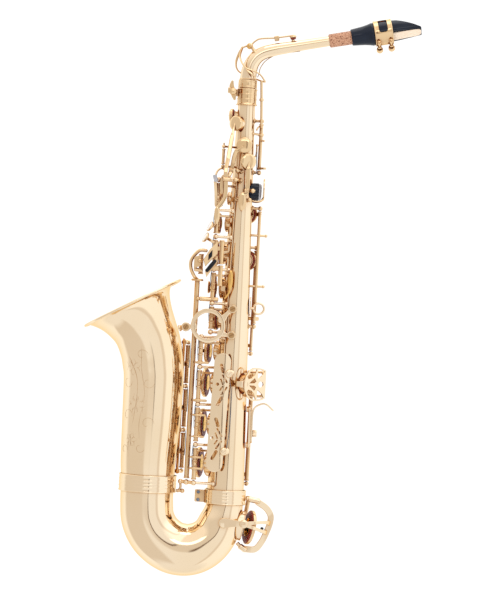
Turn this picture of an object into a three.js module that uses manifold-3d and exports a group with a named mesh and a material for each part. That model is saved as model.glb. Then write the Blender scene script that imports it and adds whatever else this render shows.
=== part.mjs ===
// Alto saxophone, in millimetres: +Z up along the body tube, -X towards the bell, +X towards the
// player, -Y on the player's left. The origin is the centre of the strap ring.
import * as THREE from "three";
import { mergeVertices } from "three/addons/utils/BufferGeometryUtils.js";
import Module from "manifold-3d";

const wasm = await Module();
wasm.setup();

// ---- Driving dimensions ----
const RING_X = 27.2; // strap ring's centre, from the body tube's axis
const BODY_TOP = { z: 238, r: 9.9 };
const BODY_BOTTOM = { z: -215, r: 21.5 };
const WALL = 1.2; // brass tube wall
const GAP = 0.3; // between neighbouring pieces
const BELL_X = -91.5; // bell axis at its foot
const CHIMNEY = 3; // tone hole rim, above the tube
const PAD = 3.6; // pad thickness
const CUP = 2.2; // key cup thickness
const TUBE_R = 2.5; // hinge tube
const BALL_R = 3.4; // post head
const STEM_R = 1.7; // post stem
const POST_CLEAR = BALL_R + GAP; // from a post's centre to the end of a hinge tube
const POST_GAP = 3.2; // the same, for the slimmer posts without a round head
const LOWER_ROD = { x: -37.5, y: -21.5 };
const UPPER_ROD = { x: -27.5, y: -17 };
const LOWER_TURN = -25; // how far the stack holes face the player's right, in degrees
const UPPER_TURN = -15;

// ---- Materials ----
const surface = (metalness) => (color, roughness) =>
  new THREE.MeshStandardMaterial({ color, roughness, metalness });
const metal = surface(1);
const plain = surface(0);
const BRASS = metal(0xe8c48c, 0.12);
const LEATHER = plain(0x6e2018, 0.6);
const EBONITE = plain(0x14181f, 0.25);
const CORK = plain(0xc99a7a, 0.85);
const CANE = plain(0xf0dfc0, 0.6);

// ---- Small tools ----
const V = (x, y, z) => new THREE.Vector3(x, y, z);
const rad = THREE.MathUtils.degToRad;
const X = V(1, 0, 0);
const Y = V(0, 1, 0);
const Z = V(0, 0, 1);

// Outside radius of the body tube at height z.
function bodyR(z) {
  const share = (z - BODY_BOTTOM.z) / (BODY_TOP.z - BODY_BOTTOM.z);
  return BODY_BOTTOM.r + share * (BODY_TOP.r - BODY_BOTTOM.r);
}

// Direction out of the body: 0 degrees is the bell side, 90 the player's left, 180 the player's side.
const out = (phi) => V(-Math.cos(rad(phi)), -Math.sin(rad(phi)), 0);
const at = (phi, rho, z) => out(phi).multiplyScalar(rho).setZ(z);
const tangent = (phi) => V(-Math.sin(rad(phi)), Math.cos(rad(phi)), 0);

function solid(geometry) {
  const g = geometry.clone();
  g.deleteAttribute("normal");
  g.deleteAttribute("uv");
  const m = mergeVertices(g, 1e-4);
  return new wasm.Manifold(
    new wasm.Mesh({
      numProp: 3,
      vertProperties: new Float32Array(m.attributes.position.array),
      triVerts: new Uint32Array(m.index.array),
    }),
  );
}

function geometryOf(body) {
  const m = body.getMesh();
  const g = new THREE.BufferGeometry();
  g.setAttribute("position", new THREE.BufferAttribute(new Float32Array(m.vertProperties), 3));
  g.setIndex(new THREE.BufferAttribute(new Uint32Array(m.triVerts), 1));
  return g;
}

const join = (...bodies) => bodies.flat().reduce((a, b) => a.add(b));
const cut = (body, ...tools) => tools.flat().reduce((a, b) => a.subtract(b), body);

// Matrix that stands a shape made along +Y on `foot`, pointing along `direction`.
function stand(foot, direction) {
  const turn = new THREE.Quaternion().setFromUnitVectors(Y, direction.clone().normalize());
  return new THREE.Matrix4().compose(foot, turn, V(1, 1, 1));
}

// A body of revolution from [radius, height] points, standing on `foot` along `direction`.
function turned(points, foot, direction, sides = 12) {
  const profile = points.map(([r, h]) => new THREE.Vector2(r, h));
  return solid(new THREE.LatheGeometry(profile, sides).applyMatrix4(stand(foot, direction)));
}

function rod(a, b, r, sides = 6) {
  const d = b.clone().sub(a);
  return turned([[0, 0], [r, 0], [r, d.length()], [0, d.length()]], a, d, sides);
}

const ball = (p, r) => solid(new THREE.IcosahedronGeometry(r, 0).translate(p.x, p.y, p.z));

// A round wire along a smooth curve through a list of points.
function wire(points, r, steps, sides = 6) {
  const round = new THREE.EllipseCurve(0, 0, r, r).getPoints(sides);
  const circle = new THREE.Shape(round.slice(0, sides));
  const extrudePath = smoothCurve(points);
  return solid(new THREE.ExtrudeGeometry(circle, { steps, bevelEnabled: false, extrudePath }));
}

// A box of the given size, centred on (x, y, z).
const block = (size, x, y, z) => solid(new THREE.BoxGeometry(...size).translate(x, y, z));

// A flat bar from a to b, `width` across and `thick` along `face`.
function bar(a, b, width, thick, face) {
  const along = b.clone().sub(a);
  const length = along.length();
  const zAxis = along.normalize();
  const xAxis = new THREE.Vector3().crossVectors(face, zAxis).normalize();
  const yAxis = new THREE.Vector3().crossVectors(zAxis, xAxis);
  const m = new THREE.Matrix4().makeBasis(xAxis, yAxis, zAxis);
  m.setPosition(a.clone().lerp(b, 0.5));
  return solid(new THREE.BoxGeometry(width, thick, length).applyMatrix4(m));
}

// A bent flat strip through a list of points, `width` across and `thick` along `face`.
function strap(points, width, thick, face) {
  const position = [];
  points.forEach((p, i) => {
    const before = points[Math.max(i - 1, 0)];
    const after = points[Math.min(i + 1, points.length - 1)];
    const t = after.clone().sub(before).normalize();
    const side = new THREE.Vector3().crossVectors(t, face).normalize();
    const up = new THREE.Vector3().crossVectors(side, t);
    for (const [u, v] of [[-1, -1], [1, -1], [1, 1], [-1, 1]]) {
      const corner = p.clone();
      corner.addScaledVector(side, (u * width) / 2);
      corner.addScaledVector(up, (v * thick) / 2);
      position.push(...corner.toArray());
    }
  });
  return skinned(position, 4);
}

// A plate with its outline in X and Z, and its two faces at y and y + thick.
function plateXZ(outline, holes, y, thick) {
  const shape = new THREE.Shape(outline.map(([x, z]) => new THREE.Vector2(x, z)));
  for (const hole of holes) shape.holes.push(hole);
  const g = new THREE.ExtrudeGeometry(shape, { depth: thick, bevelEnabled: false, curveSegments: 4 });
  return solid(g.rotateX(Math.PI / 2).translate(0, y + thick, 0));
}

function roundHole(x, z, r) {
  const path = new THREE.Path();
  path.absarc(x, z, r, 0, 2 * Math.PI, true);
  return path;
}

function leafHole(x, z, length, width, angle) {
  const path = new THREE.Path();
  const c = Math.cos(rad(angle));
  const s = Math.sin(rad(angle));
  const p = (u, v) => [x + u * c - v * s, z + u * s + v * c];
  path.moveTo(...p(-length / 2, 0));
  path.quadraticCurveTo(...p(0, -width), ...p(length / 2, 0));
  path.quadraticCurveTo(...p(0, width), ...p(-length / 2, 0));
  return path;
}

// A capped solid through circular sections in the XZ plane: [x, z, radius, tilt], where tilt is
// the angle of the section's axis from +Z towards +X.
function loft(sections, sides) {
  const position = [];
  for (const [x, z, r, tilt] of sections) {
    for (let i = 0; i < sides; i++) {
      const a = (2 * Math.PI * i) / sides;
      const u = r * Math.cos(a);
      position.push(x + u * Math.cos(rad(tilt)), r * Math.sin(a), z - u * Math.sin(rad(tilt)));
    }
  }
  return skinned(position, sides);
}

// A capped solid through rings of `sides` points each.
function skinned(position, sides) {
  const index = [];
  const n = position.length / 3 / sides;
  for (let j = 0; j + 1 < n; j++) {
    for (let i = 0; i < sides; i++) {
      const a = j * sides + i;
      const b = j * sides + ((i + 1) % sides);
      index.push(a, b, b + sides, a, b + sides, a + sides);
    }
  }
  for (let i = 1; i + 1 < sides; i++) {
    index.push(0, i + 1, i);
    index.push((n - 1) * sides, (n - 1) * sides + i, (n - 1) * sides + i + 1);
  }
  const g = new THREE.BufferGeometry();
  g.setAttribute("position", new THREE.BufferAttribute(new Float32Array(position), 3));
  g.setIndex(index);
  const made = solid(g);
  return made.volume() > 0 ? made : solid(flipped(g));
}

function flipped(g) {
  const i = g.index.array;
  for (let k = 0; k < i.length; k += 3) [i[k + 1], i[k + 2]] = [i[k + 2], i[k + 1]];
  return g;
}

// A tube along the same sections, its bore running out of both ends.
function tubeBodies(sections, sides, wall, endRun = 1) {
  const inner = sections.map(([x, z, r, t]) => [x, z, r - wall, t]);
  const run = ([x, z, r, t], by) => [x + by * Math.sin(rad(t)), z + by * Math.cos(rad(t)), r, t];
  const bore = [run(inner[0], -endRun), ...inner, run(inner.at(-1), endRun)];
  return { skin: loft(sections, sides), bore: loft(bore, sides) };
}

const smoothCurve = (points) => new THREE.CatmullRomCurve3(points, false, "centripetal");

// Smooth sections through a few given ones.
function smooth(sections, count) {
  const place = smoothCurve(sections.map(([x, z]) => V(x, 0, z)));
  const shape = smoothCurve(sections.map(([, , r, t], i) => V(r, t, i)));
  return Array.from({ length: count }, (_, k) => {
    const u = k / (count - 1);
    const p = place.getPoint(u);
    const s = shape.getPoint(u);
    return [p.x, p.z, s.x, s.y];
  });
}

// ---- The exported group and its nodes ----
const sax = new THREE.Group();
sax.position.x = -RING_X;

function add(name, body, material, parent = sax) {
  const mesh = new THREE.Mesh(geometryOf(body), material);
  mesh.name = name;
  parent.add(mesh);
  return mesh;
}

// ---- Tone holes and key cups ----
// One tone hole: a point on the tube's axis, the direction of its chimney, the height of the
// chimney's rim along that direction, and the chimney's outside radius.
function hole(axisPoint, direction, rim, r) {
  return { axisPoint, direction: direction.clone().normalize(), rim, r };
}

const outAlong = (h, reach) => h.axisPoint.clone().addScaledVector(h.direction, reach);
const chimney = (h) => rod(h.axisPoint, outAlong(h, h.rim), h.r, 7);
const chimneyBore = (h) => rod(h.axisPoint, outAlong(h, h.rim + 5), h.r - 1, 7);

// The cup sits on a closed tone hole, `GAP` off its rim.
function padAndCup(h, cupR = h.r + 2.6) {
  const face = h.axisPoint.clone().addScaledVector(h.direction, h.rim + GAP);
  const back = face.clone().addScaledVector(h.direction, PAD + GAP / 2);
  const edge = CUP * 0.6;
  const padR = cupR - 0.8;
  const padTop = PAD - GAP / 2;
  const padProfile = [[0, 0], [padR, 0], [padR, padTop], [0, padTop]];
  const cupProfile = [[0, 0], [cupR, 0], [cupR, edge], [cupR * 0.8, CUP], [0, CUP]];
  const wholeProfile = [
    [0, 0], [padR, 0], [cupR, 0.8], [cupR, PAD + edge], [cupR * 0.8, PAD + CUP], [0, PAD + CUP],
  ];
  return {
    pad: turned(padProfile, face, h.direction),
    cup: turned(cupProfile, back, h.direction),
    whole: turned(wholeProfile, face, h.direction),
    back: back.clone().addScaledVector(h.direction, edge),
  };
}

// Turns solids about an axis, as a key stands when it is open.
function turnedAbout(pivot, axis, degrees) {
  const m = new THREE.Matrix4().makeTranslation(pivot.x, pivot.y, pivot.z);
  m.multiply(new THREE.Matrix4().makeRotationAxis(axis.clone().normalize(), rad(degrees)));
  m.multiply(new THREE.Matrix4().makeTranslation(-pivot.x, -pivot.y, -pivot.z));
  return m;
}

// A key as a pivoted group: its meshes are built closed, and the group turns them open.
function keyGroup(pivot, axis, degrees) {
  const group = new THREE.Group();
  group.applyMatrix4(turnedAbout(pivot, axis, degrees));
  sax.add(group);
  return group;
}

// ---- Stack keys: cups over the front tone holes, on rods beside them ----
const UPPER_POSTS = [147.5, 112.2, 81.2, 43, 3.5, -30];
const LOWER_POSTS = [-36, -71, -114.5, -161.5, -206];
const UPPER_STACK = [
  { name: "b_key", z: 127, r: 7.5 },
  { name: "bis_key", z: 97.5, r: 9.5 },
  { name: "a_key", z: 62, r: 11.5 },
  { name: "g_key", z: 22, r: 12.5 },
  { name: "g_sharp_key", z: -15, r: 10 },
];
const LOWER_STACK = [
  { name: "f_sharp_key", z: -52.5, r: 12.5, pad: "f_sharp_pad" },
  { name: "f_key", z: -90, r: 14.5, pad: "f_pad" },
  { name: "e_key", z: -138, r: 15, pad: "e_pad" },
  { name: "d_key", z: -184, r: 15.4, pad: "d_pad" },
];
const STACK_OPEN = 14; // degrees that an open stack key stands off
const RIB_TURN = 50; // where the ribs run along the tube, in degrees
const stackHole = ({ z, r }, turn) => hole(V(0, 0, z), out(turn), bodyR(z) + CHIMNEY, r);
const stackHoles = () => [
  ...UPPER_STACK.map((key) => stackHole(key, UPPER_TURN)),
  ...LOWER_STACK.map((key) => stackHole(key, LOWER_TURN)),
];

function stackKey(key, turn, { x, y }, top, bottom) {
  const h = stackHole(key, turn);
  const { pad, cup, whole, back } = padAndCup(h);
  const open = key.name === "g_sharp_key" ? 0 : STACK_OPEN;
  const group = keyGroup(V(x, y, 0), Z, open);
  const tube = rod(V(x, y, bottom + POST_CLEAR), V(x, y, top - POST_CLEAR), TUBE_R);
  const edge = back.clone().addScaledVector(tangent(turn), -key.r);
  const arm = strap([V(x, y, key.z), edge, back], 5, 2, h.direction);
  const footZ = top - POST_CLEAR - 3;
  const foot = bar(V(x, y, footZ), at(RIB_TURN, bodyR(footZ) + 6.5, footZ), 3, 3, Y);
  add(key.name, join(tube, key.pad ? cup : whole, arm, foot), BRASS, group);
  if (key.pad) add(key.pad, pad, LEATHER, group);
}

function stackKeys() {
  for (const [i, key] of UPPER_STACK.entries()) {
    stackKey(key, UPPER_TURN, UPPER_ROD, UPPER_POSTS[i], UPPER_POSTS[i + 1]);
  }
  for (const [i, key] of LOWER_STACK.entries()) {
    stackKey(key, LOWER_TURN, LOWER_ROD, LOWER_POSTS[i], LOWER_POSTS[i + 1]);
  }
}

// Posts on a strip along the tube, carrying the stack keys' hinge tubes.
function stackRib(posts, { x, y }) {
  const strip = (z, lift) => at(RIB_TURN, bodyR(z) + GAP + lift, z);
  const rib = bar(strip(posts[0] + 2.4, 0.8), strip(posts.at(-1) - 2.4, 0.8), 6, 1.2, out(RIB_TURN));
  const made = posts.map((z) => join(rod(strip(z, 1), V(x, y, z), STEM_R, 6), ball(V(x, y, z), BALL_R)));
  return join(rib, made);
}

function stackRibs() {
  add("upper_stack_rib", stackRib(UPPER_POSTS, UPPER_ROD), BRASS);
  const foot = LOWER_POSTS.at(-1);
  const { x, y } = LOWER_ROD;
  const far = V(LONG_ROD.x, LONG_ROD.y, foot);
  const end = V(-53, -9, foot);
  const carrier = join(rod(V(x, y, foot), far, 2.2, 8), rod(far, end, 2.2, 8), ball(end, 3));
  add("lower_stack_rib", join(stackRib(LOWER_POSTS, LOWER_ROD), carrier), BRASS);
}

// ---- Palm keys: see-saw levers on the player's left, cups at the top ----
const PALMS = [
  {
    name: "palm_f_key", phi: 49, z: 214.5, r: 6.6,
    pivot: V(-19.2, -26.4, 148), head: -7.7, foot: [-3, -12],
    path: [
      V(-15.1, -18, 196), V(-17.6, -21.5, 174.6), V(-19.8, -26, 157), V(-18.6, -26.5, 140),
      V(-19.2, -27, 127.6), V(-22.7, -27.5, 120),
    ],
    touch: V(-27.2, -28, 106), size: [3.1, 10.8],
  },
  {
    name: "palm_eb_key", phi: 90, z: 189, r: 6.8,
    pivot: V(-13.5, -17, 159), head: -6.3, foot: [-2.5, -12],
    path: [V(-9, -19.5, 181), V(-11.2, -18, 174), V(-12.9, -17, 163), V(-16.4, -19, 152.1)],
    touch: V(-22.9, -21.9, 142), size: [3.6, 11.5],
  },
  {
    name: "palm_d_key", phi: 109, z: 170.5, r: 6.8,
    pivot: V(6.2, -20.5, 136.5), head: 12.6, foot: [5, -11.4],
    path: [V(6.2, -21.5, 160), V(6.2, -21.5, 136)],
    touch: V(1.2, -22, 123.6), size: [4.6, 10.8],
  },
];
const PALM_HINGE = 3; // a palm key's hinge tube, past its lever

const palmHole = ({ phi, z, r }) => hole(V(0, 0, z), out(phi), bodyR(z) + CHIMNEY, r);

// ---- Side keys on the player's right ----
const SIDES = [
  {
    name: "side_e_key", phi: -10, z: 224, r: 5.6, rod: [-8.5, 21.5],
    tube: [14, 214], armZ: 208, touchZ: 20, reach: [[-13, 30]],
  },
  {
    name: "side_c_key", phi: -120, z: 110.5, r: 8.5, rod: [22.5, 4.5],
    tube: [-18, 114], armZ: 110.5, touchZ: -12, reach: [[27, 12], [24, 24], [10, 33]],
  },
  {
    name: "side_bb_key", phi: -122, z: 56, r: 9.5, rod: [20.5, 15.5],
    tube: [-50, 68], armZ: 56, touchZ: -44, reach: [[16, 26], [8, 33]],
  },
];
const sideHole = ({ phi, z, r }) => hole(V(0, 0, z), out(phi), bodyR(z) + CHIMNEY, r);

// ---- Low keys ----
const EB = { z: -88, r: 10, phi: 150, rod: [24, 17], tube: [-203, -80] };
const ebHole = hole(V(0, 0, EB.z), out(EB.phi), bodyR(EB.z) + CHIMNEY, EB.r);

// Bow centreline and outside radii, x, z, r, from the body to the bell.
const BOW = [
  [0, -218, 21.4], [0, -231.5, 21.4], [-3.5, -250, 25], [-11, -267.5, 26.8],
  [-24, -280, 29], [-41, -286, 30.5],
  [-60, -283.5, 31], [-78, -271, 31.2], [-88.5, -253, 31.2], [-91.3, -232, 31], [BELL_X, -211, 31],
];

// Low C, on the bow's outside just below the body ring, its face leaning a little downwards.
const LOW_C = { x: -3.5, z: -251, rim: 26.3, lean: 9, turn: 5, r: 17.5, open: 11 };
const lowCUp = V(Math.sin(rad(LOW_C.lean)), 0, Math.cos(rad(LOW_C.lean)));
const lowCOut = V(
  Math.cos(rad(LOW_C.lean)),
  Math.tan(rad(LOW_C.turn)),
  -Math.sin(rad(LOW_C.lean)),
).normalize();
const lowCAxis = V(LOW_C.x, 0, LOW_C.z);
const lowCHole = hole(lowCAxis, lowCOut, LOW_C.rim, LOW_C.r);

// Bell keys, on the far side of the bell.
const BELL_ROD = V(-53.5, 27, 0);
const BELL_KEYS = [
  { name: "low_bb_key", x: -88.5, z: -70, rim: 37.5, r: 20.5, tube: [-92.5, -47.5] },
  { name: "low_b_key", x: -90, z: -122, rim: 36, r: 20.5, tube: [-144, -99.5] },
  { name: "low_c_sharp_key", x: -91.5, z: -173, rim: 34.5, r: 19.5, tube: [-192.5, -151] },
];
const BELL_POSTS = [-44, -96, -147.5, -196];
const BELL_OPEN = 10;
const bellHole = ({ x, z, rim, r }) => hole(V(x, 0, z), Y, rim, r);

// ---- The three main tubes ----
// A post soldered to the body, reaching out to the end of a hinge.
const post = (foot, head) => rod(foot, head.clone().lerp(foot, -1.5 / foot.distanceTo(head)), 1.6, 5);
const onBody = (x, y, z) => V(x, y, 0).setLength(bodyR(z) - 0.6).setZ(z);
const straightPost = (head) => post(onBody(head.x, head.y, head.z), head);

function bodyPosts() {
  const ends = [...SIDES, EB].flatMap(({ rod: [x, y], tube: [bottom, top] }) => [
    V(x, y, top + POST_GAP),
    V(x, y, bottom - POST_GAP),
  ]);
  const octaveEnds = [OCTAVE_ROD.top + POST_GAP, OCTAVE_ROD.bottom - POST_GAP];
  const octave = octaveEnds.map((z) => V(OCTAVE_ROD.x, 0, z));
  const palm = PALMS.map(({ pivot, head, foot }) => {
    return post(onBody(...foot, pivot.z), pivot.clone().setX(head));
  });
  const lever = [1, -1].map((side) => {
    return post(onBody(-5, 12 * side, LEVER.z), V(LEVER.x, LEVER.half * side, LEVER.z));
  });
  return [...[...ends, ...octave].map(straightPost), ...palm, ...lever];
}

function bodyTube() {
  const holes = [...stackHoles(), ...PALMS.map(palmHole), ...SIDES.map(sideHole), ebHole];
  const sections = [[0, BODY_BOTTOM.z, BODY_BOTTOM.r, 0], [0, BODY_TOP.z, BODY_TOP.r, 0]];
  const { skin, bore } = tubeBodies(sections, 16, WALL);
  add("body_tube", cut(join(skin, holes.map(chimney), bodyPosts()), bore, holes.map(chimneyBore)), BRASS);
}

// Sections along a path of x, z and radius, each square to the path.
function along(points, count) {
  const curve = smoothCurve(points.map(([x, z, r]) => V(x, r, z)));
  return Array.from({ length: count }, (_, k) => {
    const p = curve.getPoint(k / (count - 1));
    const t = curve.getTangent(k / (count - 1));
    return [p.x, p.z, p.y, THREE.MathUtils.radToDeg(Math.atan2(t.x, t.z))];
  });
}

function bowTube() {
  const { skin, bore } = tubeBodies(along(BOW, 11), 16, WALL);
  add("bow", cut(join(skin, chimney(lowCHole)), bore, chimneyBore(lowCHole)), BRASS);
}

// Bell sections: x, z, radius and tilt, from the bow ring to the rim.
const BELL = [
  [BELL_X, -208, 31.2, 0],
  [-92.2, -184, 32.3, 0],
  [-91.2, -137, 34.2, 0],
  [-91, -90, 35.1, 0],
  [-92.5, -74, 35.6, -3],
  [-94.8, -60, 36.2, -6],
  [-100, -43, 37.6, -11],
  [-107.5, -30, 40, -16],
  [-114.3, -19.5, 43, -21.5],
  [-120, -11, 47.5, -26],
  [-122.5, -5.5, 52, -28.5],
  [-122, -2.5, 57, -28.8],
  [-120.2, -1.5, 61.2, -28.8],
];

function bellTube() {
  const holes = BELL_KEYS.map(bellHole);
  const { skin, bore } = tubeBodies(smooth(BELL, 11), 18, WALL);
  const [x, z, r, tilt] = BELL.at(-1);
  const rimAxis = V(Math.sin(rad(tilt)), 0, Math.cos(rad(tilt)));
  const roll = [[r - 1.4, -1.2], [r + 1.6, -1.2], [r + 2.2, 0.6], [r + 0.6, 1.8], [r - 1.4, -1.2]];
  const rim = turned(roll, V(x, 0, z), rimAxis, 18);
  const tube = cut(join(skin, holes.map(chimney)), bore);
  add("bell", cut(join(tube, rim), holes.map(chimneyBore)), BRASS);
}

// ---- Rings, receiver, brace and guards ----
// A ribbed band round the tube, `r` being its seat radius.
function band(x, top, bottom, r) {
  const h = top - bottom;
  const ribs = [0, 0.8, 0.1, 0.8, 0].map((d, i) => [r + 0.7 + d, (h * i) / 4]);
  return turned([[r, 0], ...ribs, [r, h], [r, 0]], V(x, 0, bottom), Z, 18);
}

function rings() {
  const clamp = block([12, 7, 14], -29.5, 0, -222);
  const slit = block([10, 1.6, 22], -32, 0, -222);
  const inside = rod(V(0, 0, -240), V(0, 0, -200), 23.2, 24);
  add("body_bow_ring", join(band(0, -213, -230, 23), cut(clamp, inside, slit)), BRASS);
  add("bell_bow_ring", band(BELL_X, -200, -220, 32.4), BRASS);
}

function receiver() {
  const profile = [
    [10.3, 0], [12.4, 0], [12.4, 1], [11.2, 1.8], [11.2, 17.6], [11.7, 18],
    [11.7, 19.4], [9.4, 19.4], [9.4, 2.2], [10.3, 2], [10.3, 0],
  ];
  const sleeve = turned(profile, V(0, 0, 236.8), Z, 20);
  const bore = rod(V(0, 0, 230), V(0, 0, 260), 9.4, 20);
  const slit = block([8, 1.6, 14], -13, 0, 252);
  const screwAt = (y) => V(-16.5, y, 251);
  const screwHole = rod(screwAt(-10), screwAt(10), 1.9);
  const ears = [-2.6, 2.6].map((y) => block([9, 3, 8], -14, y, 251));
  add("neck_receiver", cut(join(sleeve, ears), bore, slit, screwHole), BRASS);

  const wing = (dx, dz) => bar(screwAt(-11), screwAt(-11).add(V(dx, 0, dz)), 2.4, 5, Y);
  const shank = rod(screwAt(-11), screwAt(9), 1.5);
  const head = rod(screwAt(-13), screwAt(-5), 3.6);
  add("neck_screw", join(shank, head, wing(-8, 7), wing(3.5, -10)), BRASS);
}

function brace() {
  const c = { x: -30.4, z: -22.8 };
  const y = -29;
  const thick = 3;
  const ringRim = { rOut: 20, rIn: 15 };
  const disc = (r) => rod(V(c.x, y, c.z), V(c.x, y + thick, c.z), r, 18);
  const bosses = [[-3.1, -1.9], [-2.9, -32.4]];
  const arms = bosses.map(([x, z]) => {
    const root = V(c.x + 13, y + 1.5, c.z + Math.sign(z - c.z) * 8);
    return bar(root, V(x, y + 1.5, z), 6, thick, Y);
  });
  const feet = bosses.map(([x, z]) => rod(V(x, -(bodyR(z) + GAP + 0.1), z), V(x, y - 1, z), 4.6, 10));
  const bellBoss = V(-56, y, -25.4);
  const bellArm = bar(V(c.x - 16, y + 1.5, c.z - 3), V(bellBoss.x, y + 1.5, bellBoss.z), 6, thick, Y);
  const bellFoot = join(
    rod(bellBoss, bellBoss.clone().setY(y + 5), 4.4, 10),
    rod(bellBoss.clone().setY(y + 4), V(-63.5, -17, -27.5), 3.4, 8),
  );
  const opening = rod(V(c.x, y - 1, c.z), V(c.x, y + 5, c.z), ringRim.rIn, 18);
  const ring = cut(join(disc(ringRim.rOut), arms, bellArm), opening);
  add("bell_brace", join(ring, feet, bellFoot), BRASS);
}

function sideGuard() {
  const half = 9.6;
  const top = [-11, -53.5 - half];
  const bottom = [-14.5, -191.5 + half];
  const roundEnd = ([x, z], start) =>
    Array.from({ length: 7 }, (_, i) => {
      const a = start + (Math.PI * i) / 6;
      return [x + half * Math.cos(a), z + half * Math.sin(a)];
    });
  const outline = [...roundEnd(top, 0), ...roundEnd(bottom, Math.PI)];
  const holes = [-85, -154].flatMap((z) => [
    leafHole(-12.6, z + 11, 12, 3.4, 55),
    leafHole(-12.8, z - 11, 12, 3.4, -55),
    roundHole(-17.2, z, 1.7),
  ]);
  const y = -34;
  const plate = plateXZ(outline, holes, y, 1.6);
  const posts = [[-2.6, -76.9], [-4.2, -167.2]].map(([x, z]) => {
    const foot = V(x * 0.4, -(bodyR(z) + GAP + 0.2), z);
    return join(rod(foot, V(x, y - 2.2, z), 2.2), rod(V(x, y - 2.4, z), V(x, y + 1, z), 4.2, 10));
  });
  add("side_guard", join(plate, posts), BRASS);
}

// ---- Guards of the Eb and low C keys ----
function ebGuard() {
  const phi = 146;
  const rho = 33;
  const size = 19.5;
  const spot = (rho, t, dz) => at(phi, rho, EB.z + dz).addScaledVector(tangent(phi), -t);
  const windows = [45, 135, 225, 315].map((angle) => {
    const t = 10.5 * Math.cos(rad(angle));
    const dz = 10.5 * Math.sin(rad(angle));
    return rod(spot(rho - 3, t, dz), spot(rho + 3, t, dz), 5.4, 8);
  });
  const plate = cut(rod(spot(rho, 0, 0), spot(rho + 1.6, 0, 0), size, 16), windows);
  const onSide = (rise) => at(92, bodyR(EB.z) + rise, EB.z);
  const nearBend = [spot(rho + 0.8, -size + 2, 0), spot(rho - 5, -size - 2.5, 0), onSide(1.5)];
  const nearFoot = strap(nearBend, 7, 1.8, V(0.3, -1, 0).normalize());
  const nearPad = rod(onSide(GAP + 0.1), onSide(2.4), 4.5, 10);
  const farLegs = [-14, 14].map((dz) => {
    const z = EB.z + dz;
    return rod(spot(rho + 0.5, size - 6, dz * 0.75), at(176, bodyR(z) + 1.2, z), 1.7, 6);
  });
  add("eb_guard", join(plate, nearFoot, nearPad, farLegs), BRASS);
}

function lowCGuard() {
  const y = -2;
  const arc = [
    V(39, y, -226), V(49, y, -232.5), V(54.5, y, -241), V(54, y, -250), V(50.5, y, -261), V(45, y, -273),
    V(38, y, -281), V(26, y, -281.5),
  ];
  const rim = strap(arc, 6, 1.8, Y);
  const topLeg = join(
    rod(V(27.5, y, -222.8), V(41, y, -225), 3.6),
    rod(V(25.3, y, -222.5), V(29, y, -223), 2.2),
  );
  const bottomLeg = join(
    rod(V(20, y, -278), V(28, y, -283), 3.6),
    rod(V(17, y, -274.6), V(22, y, -280), 2.2),
  );
  const boss = V(23.5, -35, -249.5);
  const face = V(0.25, -1, 0).normalize();
  const arms = join(
    strap([arc[3], V(44, -26, -247), boss], 4, 1.8, face),
    strap([arc[4], V(42, -26, -257), boss], 4, 1.8, face),
    rod(boss.clone().setY(-33), boss.clone().setY(-37.2), 4.4, 10),
    strap([boss, V(9, -33.6, -249.5), V(1, -30, -250)], 9, 1.8, V(-0.2, -1, 0).normalize()),
    rod(V(0, -31, -250), V(0, -26, -250), 6, 10),
  );
  add("low_c_guard", join(rim, topLeg, bottomLeg, arms), BRASS);
}

function bellGuard() {
  const y = 62;
  const legs = [[-47.5, -101, 38.9], [-96, -91, 35.1], [-147.5, -91.3, 34], [-197.3, -91.8, 31.8]];
  const spine = bar(V(-89, y, legs[0][0]), V(-92, y, legs.at(-1)[0]), 9, 1.6, Y);
  const arms = legs.map(([z, x, r]) => {
    const foot = V(x - (r + 1.6) * 0.766, (r + 1.6) * 0.643, z);
    const path = [V(-90, y - 0.5, z), V(-116, y - 12, z), V(-124, 36, z), foot];
    return strap(path, 4.4, 1.8, V(-0.5, 1, 0).normalize());
  });
  add("bell_key_guard", join(spine, arms), BRASS);
}

// ---- Thumb hook, thumb rest and strap ring ----
function thumbPieces() {
  const plateX = bodyR(-138) + GAP + 3.4;
  const base = join(
    bar(V(plateX, 0, -113), V(plateX + 1.2, 0, -164), 13, 2.4, X),
    rod(V(bodyR(-118) + GAP, 0, -118), V(plateX, 0, -118), 3.5),
    rod(V(bodyR(-160) + GAP, 0, -160), V(plateX + 1, 0, -160), 3.5),
  );
  add("thumb_hook_plate", base, BRASS);
  const x = plateX + 2.5;
  const hookBent = join(
    bar(V(x + 1.2, 0, -152), V(x + 0.9, 0, -122), 11, 2, X),
    bar(V(x + 0.9, 0, -123.5), V(x + 5.5, 0, -114), 11, 2, V(0.9, 0, 0.4)),
    bar(V(x + 5, 0, -114.6), V(x + 13, 0, -110.6), 11, 2, Z),
    bar(V(x + 12.4, 0, -110.8), V(x + 22, 0, -115.4), 11, 2, Z),
    rod(V(x, 0, -146), V(x + 8, 0, -146), 4, 10),
  );
  add("thumb_hook", hookBent, BRASS);

  const rest = cut(
    turned([[0, 0], [10.4, 0], [10.4, 12], [9, 14.5], [0, 15.5]], V(7.5, 0, 136.3), X, 14),
    rod(V(0, 0, 120), V(0, 0, 160), bodyR(120) + GAP, 24),
  );
  add("thumb_rest", rest, EBONITE);

  const ringPlateX = bodyR(4) + GAP + 0.9;
  const loop = turned(ringProfile(6.2, 1.35), V(RING_X, -1.35, 0), Y, 16);
  const plate = bar(V(ringPlateX - 0.2, 0, 13), V(ringPlateX + 0.3, 0, -9), 10, 1.4, X);
  const neck = bar(V(ringPlateX, 0, 0), V(RING_X - 5.6, 0, 0), 3, 3, Y);
  add("strap_ring", join(loop, plate, neck), BRASS);
}

// A ring's cross-section, six-sided, `r` out from the axis and `t` half thick.
const ringProfile = (r, t) => [
  [r - t, t], [r - t / 2, 0], [r + t / 2, 0], [r + t, t], [r + t / 2, 2 * t], [r - t / 2, 2 * t],
  [r - t, t],
];

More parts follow.
